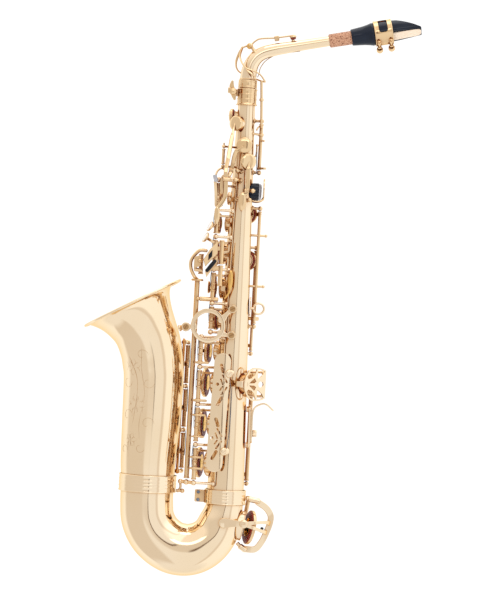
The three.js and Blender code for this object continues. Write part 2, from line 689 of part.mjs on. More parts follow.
// ---- Neck, octave key and mouthpiece ----
// Neck centreline and outside radii, x, z, r, above the collar.
const NECK = [
  [0, 267, 9.5], [0.4, 273, 9.3], [1.3, 279, 9], [4, 287, 8.5], [9.5, 294.6, 8.1], [18, 300, 7.6],
  [29.5, 303.8, 7.1],
  [41, 306.4, 6.7], [58.5, 310.1, 6.2], [75.8, 313.8, 5.9], [131, 325.5, 5.6],
];
const NECK_RISE = 12; // how far the neck's end points up, in degrees
const NECK_END = V(131, 0, 325.5);
const PIVOT = V(1.2, 0, 306.8); // of the neck's octave key
const neckGroup = new THREE.Group();
sax.add(neckGroup);

function neck() {
  const collar = [
    [0, 238.8, 9.05, 0], [0, 256.7, 9.05, 0], [0, 256.8, 11.1, 0], [0, 266.2, 10.9, 0],
    [0, 266.3, 9.7, 0],
  ];
  const { skin, bore } = tubeBodies([...collar, ...along(NECK, 10)], 12, WALL);
  const saddle = [-5, 5].map((y) => {
    const post = rod(V(7, y, 298), PIVOT.clone().setY(y), 1.6);
    return join(post, ball(PIVOT.clone().setY(y * 1.16), 2.6));
  });
  const pip = rod(V(51.2, 0, 311), V(50.6, 0, 316.6), 2, 8);
  add("neck_tube", cut(join(skin, saddle, pip), bore), BRASS, neckGroup);
  const corkLength = 38;
  const aim = V(Math.cos(rad(NECK_RISE)), 0, Math.sin(rad(NECK_RISE)));
  const start = NECK_END.clone().addScaledVector(aim, -corkLength - 1.5);
  const profile = [
    [6.5, 0], [7.9, 0.8], [7.9, corkLength - 2], [6.5, corkLength], [6.2, corkLength], [6.5, 0],
  ];
  const cork = turned(profile, start, aim, 16);
  add("neck_cork", cork, CORK, neckGroup);
}

// The neck's octave key: a pad on its pip, and a yoke round the neck, rocking on a saddle.
function neckOctaveKey() {
  const hinge = rod(PIVOT.clone().setY(-2.8), PIVOT.clone().setY(2.8), 2.2);
  const lever = strap([PIVOT, V(10.5, 0, 315.2), V(28, 0, 317.4), V(50, 0, 321.4)], 3.2, 1.8, Z);
  const tilt = V(-0.2, 0, 1);
  const cupProfile = [[0, 0], [3.4, 0], [3.9, 2.4], [3.9, 3.6], [2.5, 4.6], [0, 4.6]];
  const cup = turned(cupProfile, V(50.5, 0, 317), tilt, 10);
  const block = solid(new THREE.BoxGeometry(5.6, 6, 6).rotateY(-0.2).translate(31, 0, 317));
  const hoop = new THREE.TorusGeometry(20, 1.4, 6, 20).scale(1, 0.76, 1).rotateY(rad(40.5));
  const yoke = solid(hoop.translate(4, 0, 279.5));
  const stemPath = [PIVOT, V(-4.5, 0, 305), V(-10, 0, 299), V(-11.2, 0, 292.5)];
  const stem = strap(stemPath, 3.2, 1.8, V(-1, 0, 1).normalize());
  add("neck_octave_key", join(hinge, lever, cup, block, yoke, stem), BRASS, neckGroup);
}

// Mouthpiece group: +X along the neck's end, turned so that the reed shows on the player's left.
const MOUTH = { length: 82, roll: -31, start: -13.2, tableZ: -6.6 };
const mouthAim = new THREE.Group();
mouthAim.position.copy(NECK_END);
mouthAim.rotation.y = -rad(NECK_RISE);
sax.add(mouthAim);
const mouth = new THREE.Group();
mouth.rotation.x = rad(MOUTH.roll);
mouthAim.add(mouth);

function mouthpiece() {
  const s = MOUTH.start;
  const end = s + MOUTH.length;
  const profile = [
    [0, 0], [9.6, 0], [9.8, 1.5], [11, 14], [12.9, 23], [13.4, 25],
    [12.9, 27], [12.9, 48], [11.6, 62], [9.4, MOUTH.length], [0, MOUTH.length],
  ];
  const body = turned(profile, V(s, 0, 0), X, 20);
  const slope = new THREE.BoxGeometry(60, 40, 30).translate(0, 0, 15).rotateY(rad(25.5));
  slope.translate(end, 0, MOUTH.tableZ + 1.3);
  const table = block([60, 40, 20], s + 27.5 + 30, 0, MOUTH.tableZ - 10);
  const socket = rod(V(s - 1, 0, 0), V(s + 27, 0, 0), 8.25, 16);
  const bore = join(socket, rod(V(s, 0, 0), V(s + 44, 0, 0), 4.5, 10));
  add("mouthpiece", cut(body, solid(slope), table, bore), EBONITE, mouth);

  const reed = [
    [s + 29, MOUTH.tableZ - GAP], [end - 0.5, MOUTH.tableZ - GAP], [end - 0.5, MOUTH.tableZ - 0.7],
    [s + 54, MOUTH.tableZ - 3], [s + 29, MOUTH.tableZ - 3.2],
  ];
  add("reed", plateXZ(reed, [], -6.5, 13), CANE, mouth);
}

const SCREWS = [17.5, 31.5]; // along the mouthpiece
function ligature() {
  const band = cut(
    rod(V(SCREWS[0] - 3.5, 0, 0), V(SCREWS[1] + 3.5, 0, 0), 14.7, 24),
    rod(V(0, 0, 0), V(50, 0, 0), 13.75, 24),
    block([9, 12, 14], 24.5, -16, 3),
    block([9, 12, 14], 24.5, 16, 3),
  );
  const lugs = SCREWS.flatMap((x) => [-4, 4].map((y) => block([4.4, 2.2, 5], x, y, -16.2)));
  const holes = SCREWS.map((x) => rod(V(x, -8, -16.8), V(x, 8, -16.8), 1.5));
  add("ligature", cut(join(band, lugs), holes), BRASS, mouth);
  SCREWS.forEach((x, i) => {
    const screw = join(
      rod(V(x, -7, -16.8), V(x, 13, -16.8), 1.15),
      turned([[0, 0], [3.2, 0], [3.8, 1], [3.8, 4.5], [3.2, 5.5], [0, 5.5]], V(x, 7, -16.8), Y, 10),
    );
    add(`ligature_screw_${i + 1}`, screw, BRASS, mouth);
  });
}

// ---- Octave mechanism on the body ----
const LEVER = { x: 9.5, z: 126, half: 19.8 }; // the thumb lever's hinge, across the body
const OCTAVE_ROD = { x: 18.7, bottom: 162, top: 216 };
function octaveMechanism() {
  const plate = cut(
    rod(V(24.8, -2, 139.5), V(26.6, -2, 139.5), 12.5, 12),
    rod(V(24, 3, 134), V(27, 3, 134), 7, 10),
  );
  const arms = [-1, 1].map((side) => {
    const y = 15.4 * side;
    return strap([V(25.7, side * 9 - 2, 141), V(21, y, 140), V(LEVER.x, y, LEVER.z)], 4, 1.8, Y);
  });
  const onHinge = (y) => V(LEVER.x, y, LEVER.z);
  const hinges = [-1, 1].map((side) => rod(onHinge(side * 14.4), onHinge(side * 15.8), 2.6));
  add("octave_lever", join(plate, arms, hinges), BRASS);
  const tube = rod(V(OCTAVE_ROD.x, 0, OCTAVE_ROD.bottom), V(OCTAVE_ROD.x, 0, OCTAVE_ROD.top), 2.3);
  const pin = bar(V(18.7, 0, 212), V(18.7, -6.2, 212), 3, 3, Z);
  const tip = rod(V(18.4, -5.4, 211), V(15.9, -4.4, 265.5), 1.25, 6);
  const foot = bar(V(18.7, 0, 164), V(24.5, -4, 164), 5, 2.4, Z);
  add("octave_rod", join(tube, pin, tip, foot), BRASS);
}

// ---- Palm keys ----
function palmKeys() {
  for (const key of PALMS) {
    const { whole, back } = padAndCup(palmHole(key), key.r + 2.2);
    const points = [back, ...key.path, key.touch.clone().add(V(0, 0, key.size[1] * 0.7))];
    const lever = strap(points, 3.8, 1.9, Y);
    const [w, l] = key.size;
    const touch = solid(new THREE.SphereGeometry(1, 8, 5).scale(w, 1.6, l).translate(...key.touch.toArray()));
    const hingeEnd = key.pivot.clone().add(V(-PALM_HINGE, 0, 0));
    const hinge = rod(hingeEnd, key.pivot.clone().setX(key.head - 4.8), 2.4);
    add(key.name, join(whole, lever, touch, hinge), BRASS);
  }
}

// ---- Side keys ----
function sideKeys() {
  for (const key of SIDES) {
    const h = sideHole(key);
    const { whole, back } = padAndCup(h);
    const [x, y] = key.rod;
    const tube = rod(V(x, y, key.tube[0]), V(x, y, key.tube[1]), 1.9);
    const armFoot = V(x, y, key.armZ);
    const armBend = armFoot.clone().lerp(back, 0.5).addScaledVector(h.direction, 2.5);
    const arm = strap([armFoot, armBend, back], 4.4, 2, h.direction);
    const touchAt = V(Math.min(x, 8) - 6, Math.max(y, 26) + 9, key.touchZ);
    const path = key.reach.map(([px, py]) => V(px, py, key.touchZ));
    const reach = strap([V(x, y, key.touchZ), ...path, touchAt], 4.4, 2, V(1, 1, 0));
    const touch = block([9, 2.2, 18], ...touchAt.toArray());
    add(key.name, join(whole, tube, arm, reach, touch), BRASS);
  }
}

// ---- Low keys ----
function lowKeys() {
  const eb = padAndCup(ebHole);
  const [x, y] = EB.rod;
  const tube = rod(V(x, y, EB.tube[0]), V(x, y, EB.tube[1]), TUBE_R);
  const ebEdge = eb.back.clone().addScaledVector(tangent(EB.phi), -EB.r);
  const arm = strap([V(x, y, -86), ebEdge, eb.back], 5, 2, ebHole.direction);
  const touch = block([13, 2.4, 11], 6, 36, -196);
  const reach = strap([V(x, y, -196), V(17, 33, -196), V(8, 36, -196)], 5, 2, Y);
  add("low_eb_key", join(eb.whole, tube, arm, touch, reach), BRASS);

  const c = padAndCup(lowCHole);
  const pivot = lowCAxis.clone().addScaledVector(lowCOut, 27).setY(28);
  const group = keyGroup(pivot, lowCUp, LOW_C.open);
  const low = pivot.clone().addScaledVector(lowCUp, -14);
  const high = pivot.clone().addScaledVector(lowCUp, 34);
  const cArmPath = [
    pivot.clone().addScaledVector(lowCUp, -2),
    c.back.clone().setY(18).addScaledVector(lowCOut, 1),
    c.back.clone().setY(4),
  ];
  const cArm = strap(cArmPath, 7, 2.2, lowCOut);
  const touchAt = high.clone().add(V(-18, 9, -3));
  const cTouch = join(
    block([13, 2.4, 11], ...touchAt.toArray()),
    strap([high.clone().addScaledVector(lowCUp, -3), high.clone().add(V(-8, 8, -3)), touchAt], 5, 2, Y),
  );
  add("low_c_key", join(c.cup, rod(low, high, TUBE_R), cArm, cTouch), BRASS, group);
  add("low_c_pad", c.pad, LEATHER, group);

  for (const key of BELL_KEYS) {
    const b = padAndCup(bellHole(key));
    const keyAt = keyGroup(BELL_ROD, Z, key.name === "low_c_sharp_key" ? 0 : -BELL_OPEN);
    const onRod = (z) => BELL_ROD.clone().setZ(z);
    const hinge = rod(onRod(key.tube[0]), onRod(key.tube[1]), TUBE_R);
    const elbow = V(BELL_ROD.x - 8, b.back.y + 0.5, key.z);
    const reachArm = strap([onRod(key.z), elbow, b.back.clone().setX(key.x + 4)], 6, 2.2, Y);
    add(key.name, join(b.whole, hinge, reachArm), BRASS, keyAt);
  }
}

// ---- Table of the left little finger ----
const TABLE_Y = -37;
const TABLE_ROD = V(-19.5, -33, 0);
const LONG_ROD = V(-46, -14, 0);
const PLATE = 2.6; // touch plate thickness

// A touch plate on its own hinge tube, joined by a bar at height z.
function touchPlate(outline, [bottom, top], reachX, z) {
  const onRod = (height) => TABLE_ROD.clone().setZ(height);
  return join(
    plateXZ(outline, [], TABLE_Y, PLATE),
    rod(onRod(bottom), onRod(top), TUBE_R),
    bar(onRod(z), V(reachX, TABLE_Y + 1.6, z), 5, 2, Y),
  );
}

function table() {
  const gSharp = [[-24.4, 74.8], [-23.8, 61.5], [-37.2, 45.5], [-39.9, 53.4], [-33.1, 65.5]];
  const lowB = [[-23.6, 58.6], [-23.2, 51.5], [-35.6, 33.2], [-37.4, 41.8]];
  add("g_sharp_lever", touchPlate(gSharp, [49, 77], -26, 67), BRASS);
  add("low_b_lever", touchPlate(lowB, [24, 47.8], -28, 44.5), BRASS);
  const cSharp = join(
    rod(V(-42.5, -24, 36.5), V(-42.5, -24, 60), TUBE_R),
    plateXZ([[-50.5, 56], [-42.5, 59], [-42.5, 46], [-50.5, 43]], [], -35, 2.4),
    bar(V(-42.5, -24, 52), V(-44, -34, 52), 5, 3, X),
  );
  add("low_c_sharp_lever", cSharp, BRASS);
  const loopPath = [
    V(-36.5, -28.5, 64), V(-45.5, -28.5, 63.5), V(-53.6, -28.5, 53),
    V(-54, -28.5, 43), V(-49.5, -24, 33.5), V(-46, -14, 30),
  ];
  const loop = wire(loopPath, 1.7, 12);
  const onLong = (z) => LONG_ROD.clone().setZ(z);
  const flange = rod(onLong(28.5), onLong(31), 5.5, 10);
  const long = rod(onLong(-201.5), onLong(30), 3);
  add("low_bb_lever", join(loop, flange, long), BRASS);
}

// ---- Posts of the bell keys, on a strip along the bell's body side ----
function bellPosts() {
  const bellStrip = (z) => V(-58.2, 17.5, z);
  const strip = bar(bellStrip(-40), bellStrip(-197), 5, 1.4, V(1, 0.6, 0).normalize());
  const stands = BELL_POSTS.map((z) => {
    const head = BELL_ROD.clone().setZ(z);
    return join(rod(bellStrip(z), head, 1.8, 6), ball(head, 3));
  });
  add("bell_key_rib", join(strip, stands), BRASS);
}

bodyTube();
bowTube();
bellTube();
rings();
receiver();
brace();
sideGuard();
ebGuard();
lowCGuard();
bellGuard();
thumbPieces();
stackRibs();
stackKeys();
neck();
neckOctaveKey();
mouthpiece();
ligature();
octaveMechanism();
palmKeys();
sideKeys();
lowKeys();
table();
bellPosts();

export default sax;
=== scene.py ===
"""An alto saxophone's visual model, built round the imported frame.

Lengths are in millimetres in the body tube's frame: its axis is x = y = 0, +Z points up it, -X towards
the bell and -Y to the player's left. `Build.mesh` turns them into metres in the row frame, whose origin
is the strap ring.
"""
from math import asin, atan2, copysign, cos, degrees, hypot, pi, radians, sin, sqrt, tan
from types import SimpleNamespace

import bmesh
import bpy
from mathutils import Matrix, Quaternion, Vector


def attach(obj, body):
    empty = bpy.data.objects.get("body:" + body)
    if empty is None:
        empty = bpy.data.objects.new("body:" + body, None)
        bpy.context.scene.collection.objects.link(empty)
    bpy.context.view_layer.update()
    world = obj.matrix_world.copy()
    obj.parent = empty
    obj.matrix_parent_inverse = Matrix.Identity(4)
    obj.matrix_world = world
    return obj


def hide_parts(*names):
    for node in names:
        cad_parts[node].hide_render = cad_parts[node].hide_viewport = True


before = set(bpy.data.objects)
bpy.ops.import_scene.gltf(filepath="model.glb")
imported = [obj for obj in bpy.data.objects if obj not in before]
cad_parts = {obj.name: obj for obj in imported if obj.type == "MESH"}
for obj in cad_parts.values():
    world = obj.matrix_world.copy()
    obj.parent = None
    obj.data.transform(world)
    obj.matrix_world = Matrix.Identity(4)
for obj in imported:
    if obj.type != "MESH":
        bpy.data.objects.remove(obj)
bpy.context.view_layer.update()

# ---- Driving dimensions, as in the CAD model ----
RING_X = 27.2
TO_ROW = Matrix.Scale(0.001, 4) @ Matrix.Translation((-RING_X, 0, 0))
TOP_Z, TOP_R = 238, 9.9
FOOT_Z, FOOT_R = -215, 21.5
WALL = 1.2
GAP = 0.3
BELL_X = -91.5
CHIMNEY = 3
PAD, CUP = 3.6, 2.2
RISE = PAD + CUP
CUP_EDGE = 2.6
TUBE_R, BALL_R, STEM_R = 2.5, 3.4, 1.6
LOWER_ROD, UPPER_ROD = (-37.5, -21.5), (-27.5, -17)
LOWER_TURN, UPPER_TURN, RIB_TURN = -25, -15, 50
STACK_OPEN, BELL_OPEN = 14, 10
POST_GAP = 3.2  # from a hinge tube's end to the middle of its post
ROUND = 56  # sides of the cups, pads and bores
X, Y, Z = Vector((1, 0, 0)), Vector((0, 1, 0)), Vector((0, 0, 1))


def V(x, y, z):
    return Vector((x, y, z))


def body_r(z):
    return FOOT_R + (z - FOOT_Z) / (TOP_Z - FOOT_Z) * (TOP_R - FOOT_R)


def out(phi):
    a = radians(phi)
    return V(-cos(a), -sin(a), 0)


def at(phi, rho, z):
    return out(phi) * rho + Z * z


def tangent(phi):
    a = radians(phi)
    return V(-sin(a), cos(a), 0)


def on_body(x, y, z, lift=-0.6):
    p = V(x, y, 0)
    p.length = body_r(z) + lift
    return p + Z * z


def across(direction):
    """Two unit vectors square to a direction and to each other."""
    d = direction.normalized()
    u = d.cross(Z if abs(d.z) < 0.9 else X).normalized()
    return u, d.cross(u)


def turns(count):
    """The angles of even steps round a circle."""
    return [2 * pi * i / count for i in range(count)]


def curve(points, count):
    """Points on a smooth curve through the given ones (any dimension), evenly by control interval."""
    pts = [Vector(p) for p in points]
    pts = [pts[0] * 2 - pts[1]] + pts + [pts[-1] * 2 - pts[-2]]
    spans = len(pts) - 3
    made = []
    for k in range(count):
        u = k / (count - 1) * spans
        i = min(int(u), spans - 1)
        t = u - i
        a, b, c, d = pts[i : i + 4]
        bend, twist = 2 * a - 5 * b + 4 * c - d, 3 * b - a - 3 * c + d
        made.append(0.5 * ((2 * b) + (c - a) * t + bend * t**2 + twist * t**3))
    return made


def heading(path, i):
    return path[min(i + 1, len(path) - 1)] - path[max(i - 1, 0)]


def smooth(points, widths, count):
    """A smooth path and the scale of the section at each of its points."""
    return curve(points, count), [w.x for w in curve([(w, 0) for w in widths],
        count)] if widths else [1.0] * count


def rounded(width, thick, soft=0.45):
    """A rectangle's outline with round corners, as (u, v) points."""
    c = min(soft, width * 0.45, thick * 0.45)
    made = []
    for su, sv, start in [(1, 1, 0), (-1, 1, 90), (-1, -1, 180), (1, -1, 270)]:
        for step in (0, 45, 90):
            a = radians(start + step)
            made.append((su * (width / 2 - c) + c * cos(a), sv * (thick / 2 - c) + c * sin(a)))
    return made


SHADING = "even shading"


def placed(name, data):
    """A new object in the scene."""
    made = bpy.data.objects.new(name, data)
    bpy.context.scene.collection.objects.link(made)
    return made


class Build:
    """Collects closed surfaces and turns them into one piece."""

    def __init__(self):
        self.verts, self.faces = [], []

    def skin(self, rings, loop=False):
        """A surface through equally long rings. A ring of one point is a tip; open ends are capped."""
        sides = max(len(r) for r in rings)
        ids = []
        for ring in rings:
            ids.append(range(len(self.verts), len(self.verts) + len(ring)))
            self.verts.extend(ring)
        for a, b in list(zip(ids, ids[1:])) + ([(ids[-1], ids[0])] if loop else []):
            for i in range(sides):
                j = (i + 1) % sides
                if len(a) == 1:
                    self.faces.append((a[0], b[j], b[i]))
                elif len(b) == 1:
                    self.faces.append((a[i], a[j], b[0]))
                else:
                    self.faces.append((a[i], a[j], b[j], b[i]))
        if not loop:
            self.faces += [tuple(ring) for ring in (ids[0], ids[-1]) if len(ring) > 1]
        return self

    def lathe(self, profile, foot, direction, sides=40, loop=False):
        """A body of revolution from (radius, height) points."""
        u, v = across(direction)
        d = direction.normalized()
        rings = []
        for r, h in profile:
            centre = foot + d * h
            rings.append([centre + (u * cos(a) + v * sin(a)) * r for a in turns(sides)] if r > 0 else [centre])
        return self.skin(rings, loop)

    def turned(self, profile, foot, direction, sides=36):
        """A lathed solid: its profile is closed to the axis at both ends."""
        return self.lathe([(0, profile[0][1]), *profile, (0, profile[-1][1])], foot, direction, sides)

    def rod(self, a, b, r, sides=24, soft=0.3):
        n = (b - a).length
        c = min(soft, r * 0.4, n * 0.4)
        return self.turned([(r - c, 0), (r, c), (r, n - c), (r - c, n)], a, b - a, sides)

    def ball(self, p, r, sides=24, rows=14, scale=(1, 1, 1)):
        rings = []
        for k in range(rows + 1):
            a = pi * k / rows
            ring = [V(0, 0, r * cos(a))]
            if 0 < k < rows:
                ring = [V(cos(b) * sin(a), sin(b) * sin(a), cos(a)) * r for b in turns(sides)]
            rings.append([p + q * Vector(scale) for q in ring])
        return self.skin(rings)

    def ring(self, centre, axis, major, minor, sides):
        """A torus."""
        return self.lathe([(major + minor * cos(a), minor * sin(a)) for a in turns(12)], centre, axis, sides,
            loop=True)

    def strap(self, points, size, face, count=None, widths=None, round_ends=True):
        """A strip of a (width, thickness, corner) section along a smooth curve, its thickness along `face`."""
        path, scale = smooth(points, widths, count or 6 * len(points) - 5)
        section = rounded(*size)
        if round_ends:
            width = max(u for u, _ in section) - min(u for u, _ in section)
            path, scale = self.rounded_ends(path, scale, width / 2)
        rings = []
        for i, p in enumerate(path):
            t = heading(path, i).normalized()
            side = t.cross(face).normalized()
            up = side.cross(t)
            rings.append([p + side * (u * scale[i]) + up * v for u, v in section])
        return self.skin(rings)

    @staticmethod
    def rounded_ends(path, scale, radius):
        """Extends a path at both ends by a half-round, as wide as the strip there."""
        made = list(zip(path, scale))
        for _ in range(2):
            (nearby, _), (p, size) = made[-2:]
            step = (p - nearby).normalized() * (radius * size)
            made += [(p + step * sin(a), size * cos(a)) for a in (0.4, 0.8, 1.15, 1.4)]
            made.reverse()
        return [p for p, _ in made], [size for _, size in made]

    def wire(self, points, r, count=None, sides=12, widths=None):
        """A round wire along a smooth curve, `widths` times as thick at the points."""
        path, scale = smooth(points, widths, count or 8 * len(points) - 7)
        t = heading(path, 0).normalized()
        u, _ = across(t)
        rings = [[path[0] - t * r * scale[0] * 0.6]]
        for i, p in enumerate(path):
            t = heading(path, i).normalized()
            u = (u - t * u.dot(t)).normalized()
            w = t.cross(u)
            rings.append([p + (u * cos(a) + w * sin(a)) * r * scale[i] for a in turns(sides)])
        rings.append([path[-1] + t * r * scale[-1] * 0.6])
        return self.skin(rings)

    def block(self, centre, size, turn=Quaternion(), soft=0.6):
        """A box with soft edges."""
        sx, sy, sz = size
        c = min(soft, min(size) * 0.3)
        steps = [(0, c), (c * 0.3, c * 0.3), (c, 0)]
        rings = []
        levels = [(rise - sz / 2, inset) for rise, inset in steps]
        levels += [(sz / 2 - drop, inset) for drop, inset in steps[::-1]]
        for z, inset in levels:
            rings.append([centre + turn @ V(u, v, z) for u, v in rounded(sx - 2 * inset, sy - 2 * inset, c)])
        return self.skin(rings)

    def plate(self, outline, holes, origin, u_axis, v_axis, thick, soft=0.3):
        """A flat plate with its outline and holes in the u-v plane, from `origin` along u x v."""
        data = bpy.data.curves.new("outline", "CURVE")
        data.dimensions, data.fill_mode, data.offset = "2D", "BOTH", -soft
        data.extrude, data.bevel_depth, data.bevel_resolution = thick / 2 - soft, soft, 2
        for points in [outline, *holes]:
            spline = data.splines.new("POLY")
            spline.points.add(len(points) - 1)
            for point, (u, v) in zip(spline.points, points):
                point.co = (u, v, 0, 1)
            spline.use_cyclic_u = True
        made = bpy.data.objects.new("outline", data)
        mesh = bpy.data.meshes.new_from_object(made)
        w_axis = u_axis.cross(v_axis)
        bm = bmesh.new()
        bm.from_mesh(mesh)
        bmesh.ops.remove_doubles(bm, verts=bm.verts, dist=1e-4)
        start = len(self.verts)
        for x, y, z in (p.co for p in bm.verts):
            self.verts.append(origin + u_axis * x + v_axis * y + w_axis * (z + thick / 2))
        self.faces += [tuple(start + p.index for p in f.verts) for f in bm.faces]
        bm.free()
        bpy.data.objects.remove(made)
        bpy.data.curves.remove(data)
        bpy.data.meshes.remove(mesh)
        return self

    def screw(self, p, direction, r, slot_turn=0.6):
        """A slotted screw head, its top at p: a disc under two half-round lands."""
        d = direction.normalized()
        u, v = across(d)
        along = u * cos(slot_turn) + v * sin(slot_turn)
        beside = v * cos(slot_turn) - u * sin(slot_turn)
        self.turned([(r, -2), (r, -0.75)], p, d, 28)
        start = asin(0.17)
        for side in (1, -1):
            arc = [start + (pi - 2 * start) * k / 12 for k in range(13)]
            land = [(r * cos(a), side * r * sin(a)) for a in arc]
            levels = ((-0.8, 1), (-0.25, 1), (0, 0.88))
            self.skin([[p + d * h + along * x * inset + beside * (y * inset + side * 0.02) for x, y in land]
                       for h, inset in levels])
        return self

    def moved(self, matrix):
        if matrix:
            self.verts = [matrix @ v for v in self.verts]
        return self

    def mesh(self, name, outwards=True):
        """The surfaces as a mesh in the row frame, its faces turned outwards."""
        mesh = bpy.data.meshes.new(name)
        mesh.from_pydata([tuple(TO_ROW @ v) for v in self.verts], [], self.faces)
        if outwards:
            bm = bmesh.new()
            bm.from_mesh(mesh)
            bmesh.ops.recalc_face_normals(bm, faces=bm.faces)
            bm.to_mesh(mesh)
            bm.free()
        return mesh

    def finish(self, name, body, material, node=None, sharp=52):
        mesh = self.mesh(name)
        mesh.shade_smooth()
        mesh.set_sharp_from_angle(angle=radians(sharp))
        mesh.materials.append(material)
        piece = placed(name, mesh)
        piece.modifiers.new(SHADING, "WEIGHTED_NORMAL").keep_sharp = True
        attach(piece, body)
        if node:
            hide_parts(node)
        return piece

    def stand_in(self, name, body, material, sharp=52):
        """Finishes the piece in place of the CAD node of the same name."""
        return self.finish(name, body, material, name, sharp)


def turned_about(pivot, axis, angle):
    move = Matrix.Translation(pivot)
    return move @ Matrix.Rotation(radians(angle), 4, axis) @ move.inverted()


def pierced(piece, cutters):
    """Cuts closed shapes out of a piece, for good."""
    tool = placed("cutter", cutters.mesh("cutter"))
    boolean = piece.modifiers.new("holes", "BOOLEAN")
    boolean.operation, boolean.solver, boolean.object = "DIFFERENCE", "EXACT", tool
    piece.modifiers.move(piece.modifiers.find(boolean.name), 0)
    shading = piece.modifiers[SHADING]
    shown, shading.show_viewport = shading.show_viewport, False
    bpy.context.view_layer.update()
    cut = bpy.data.meshes.new_from_object(piece.evaluated_get(bpy.context.evaluated_depsgraph_get()))
    piece.modifiers.remove(boolean)
    piece.modifiers[SHADING].show_viewport = shown
    piece.data = cut
    bpy.data.objects.remove(tool)
    return piece


# ---- Materials ----
def material(name, base, roughness, metallic=0.0, **inputs):
    """A Principled material whose sockets are set directly; the caller adds its own detail nodes."""
    made = bpy.data.materials.new(name)
    made.use_nodes = True
    shader = made.node_tree.nodes["Principled BSDF"]
    shader.inputs["Base Color"].default_value = (*base, 1)
    shader.inputs["Roughness"].default_value = roughness
    shader.inputs["Metallic"].default_value = metallic
    for socket, value in inputs.items():
        shader.inputs[socket.replace("_", " ")].default_value = value
    return made, shader


def node(made, kind, **settings):
    n = made.node_tree.nodes.new(kind)
    for key, value in settings.items():
        if key in n.inputs:
            n.inputs[key].default_value = value
        else:
            setattr(n, key, value)
    return n


def link(made, a, b):
    made.node_tree.links.new(a, b)


def row_place(made):
    return node(made, "ShaderNodeTexCoord").outputs["Object"]


def noise(made, scale, detail=3.0, stretch=None):
    n = node(made, "ShaderNodeTexNoise", Scale=scale, Detail=detail)
    place = row_place(made)
    if stretch:
        mapping = node(made, "ShaderNodeMapping", Scale=stretch)
        link(made, place, mapping.inputs["Vector"])
        place = mapping.outputs["Vector"]
    link(made, place, n.inputs["Vector"])
    return n.outputs["Fac"]


def ramp(made, factor, *stops):
    """A colour ramp over (position, colour) stops."""
    n = node(made, "ShaderNodeValToRGB")
    elements = n.color_ramp.elements
    while len(elements) < len(stops):
        elements.new(0.5)
    for element, (position, colour) in zip(elements, stops):
        element.position, element.color = position, (*colour, 1)
    link(made, factor, n.inputs["Fac"])
    return n.outputs["Color"]


def computed(made, operation, *values):
    """A math node's value, from sockets and constants."""
    n = node(made, "ShaderNodeMath", operation=operation)
    for i, value in enumerate(values):
        if isinstance(value, bpy.types.NodeSocket):
            link(made, value, n.inputs[i])
        else:
            n.inputs[i].default_value = value
    return n.outputs["Value"]


def spread(made, factor, low, high):
    n = node(made, "ShaderNodeMapRange")
    n.inputs["To Min"].default_value = low
    n.inputs["To Max"].default_value = high
    link(made, factor, n.inputs["Value"])
    return n.outputs["Result"]


def bump(made, shader, height, distance, strength=0.5):
    n = node(made, "ShaderNodeBump", Strength=strength, Distance=distance)
    link(made, height, n.inputs["Height"])
    link(made, n.outputs["Normal"], shader.inputs["Normal"])


def tinted(made, shader, factor, *stops):
    """Gives a material's base colour a ramp."""
    link(made, ramp(made, factor, *stops), shader.inputs["Base Color"])


def mixed(made, factor, a, b, blend="MIX"):
    """A colour mix, whose inputs are sockets or constants."""
    n = node(made, "ShaderNodeMix", data_type="RGBA", blend_type=blend)
    for name, value in (("Factor", factor), ("A", a), ("B", b)):
        if isinstance(value, bpy.types.NodeSocket):
            link(made, value, n.inputs[name])
        else:
            n.inputs[name].default_value = value
    return n.outputs["Result"]


def lacquered_brass(name, light, deep, shade, rough=(0.03, 0.09), corners=(0.10, 0.85)):
    """Polished brass under clear lacquer: slow tone drifts, handling haze and painted shade, a deeper gold in
    corners where ambient occlusion finds them.
    """
    made, shader = material(name, light, 0.1, 1.0, Coat_Weight=0.25, Coat_Roughness=0.03)
    shader.inputs["Specular Tint"].default_value = (0.93, 0.74, 0.45, 1)
    tone = ramp(made, noise(made, 14, 3), (0.35, deep), (0.62, light))
    # Painted shade: ambient occlusion turns the base colour towards `shade` in corners and crevices.
    corner = node(made, "ShaderNodeAmbientOcclusion", samples=8, Distance=0.019)
    shades = ramp(made, corner.outputs["AO"], (corners[0], shade), (corners[1], (1, 1, 1)))
    link(made, mixed(made, 1.0, tone, shades, "MULTIPLY"), shader.inputs["Base Color"])
    link(made, spread(made, noise(made, 60, 5), *rough), shader.inputs["Roughness"])
    bump(made, shader, noise(made, 30, 2), 0.0002, 0.05)
    return made


def leather():
    made, shader = material("pad_leather", (0.25, 0.035, 0.02), 0.5, Specular_IOR_Level=0.4)
    tinted(made, shader, noise(made, 260, 5), (0.3, (0.13, 0.012, 0.008)), (0.55, (0.30, 0.035, 0.02)),
        (0.8, (0.42, 0.07, 0.04)))
    grain = node(made, "ShaderNodeTexVoronoi", Scale=2600.0)
    link(made, row_place(made), grain.inputs["Vector"])
    bump(made, shader, grain.outputs["Distance"], 0.0002)
    return made


def ebonite(name, base, haze):
    made, shader = material(name, base, 0.2, Specular_IOR_Level=0.28)
    tinted(made, shader, noise(made, 60, 3), (0.3, tuple(c * 0.6 for c in base)), (0.7, base))
    link(made, spread(made, noise(made, 300, 5), *haze), shader.inputs["Roughness"])
    bump(made, shader, noise(made, 900, 2), 0.00005, 0.2)
    return made


def cork():
    made, shader = material("cork", (0.6, 0.36, 0.23), 0.85)
    tinted(made, shader, noise(made, 700, 6), (0.36, (0.16, 0.05, 0.03)), (0.46, (0.52, 0.27, 0.17)),
        (0.7, (0.70, 0.42, 0.29)))
    bump(made, shader, noise(made, 900, 4), 0.0003, 0.6)
    return made


def cane():
    made, shader = material("cane", (0.93, 0.80, 0.66), 0.5)
    fibres = noise(made, 60, 6, stretch=(1, 30, 30))
    tinted(made, shader, fibres, (0.35, (0.84, 0.64, 0.47)), (0.6, (0.95, 0.83, 0.70)))
    bump(made, shader, fibres, 0.0001, 0.4)
    return made


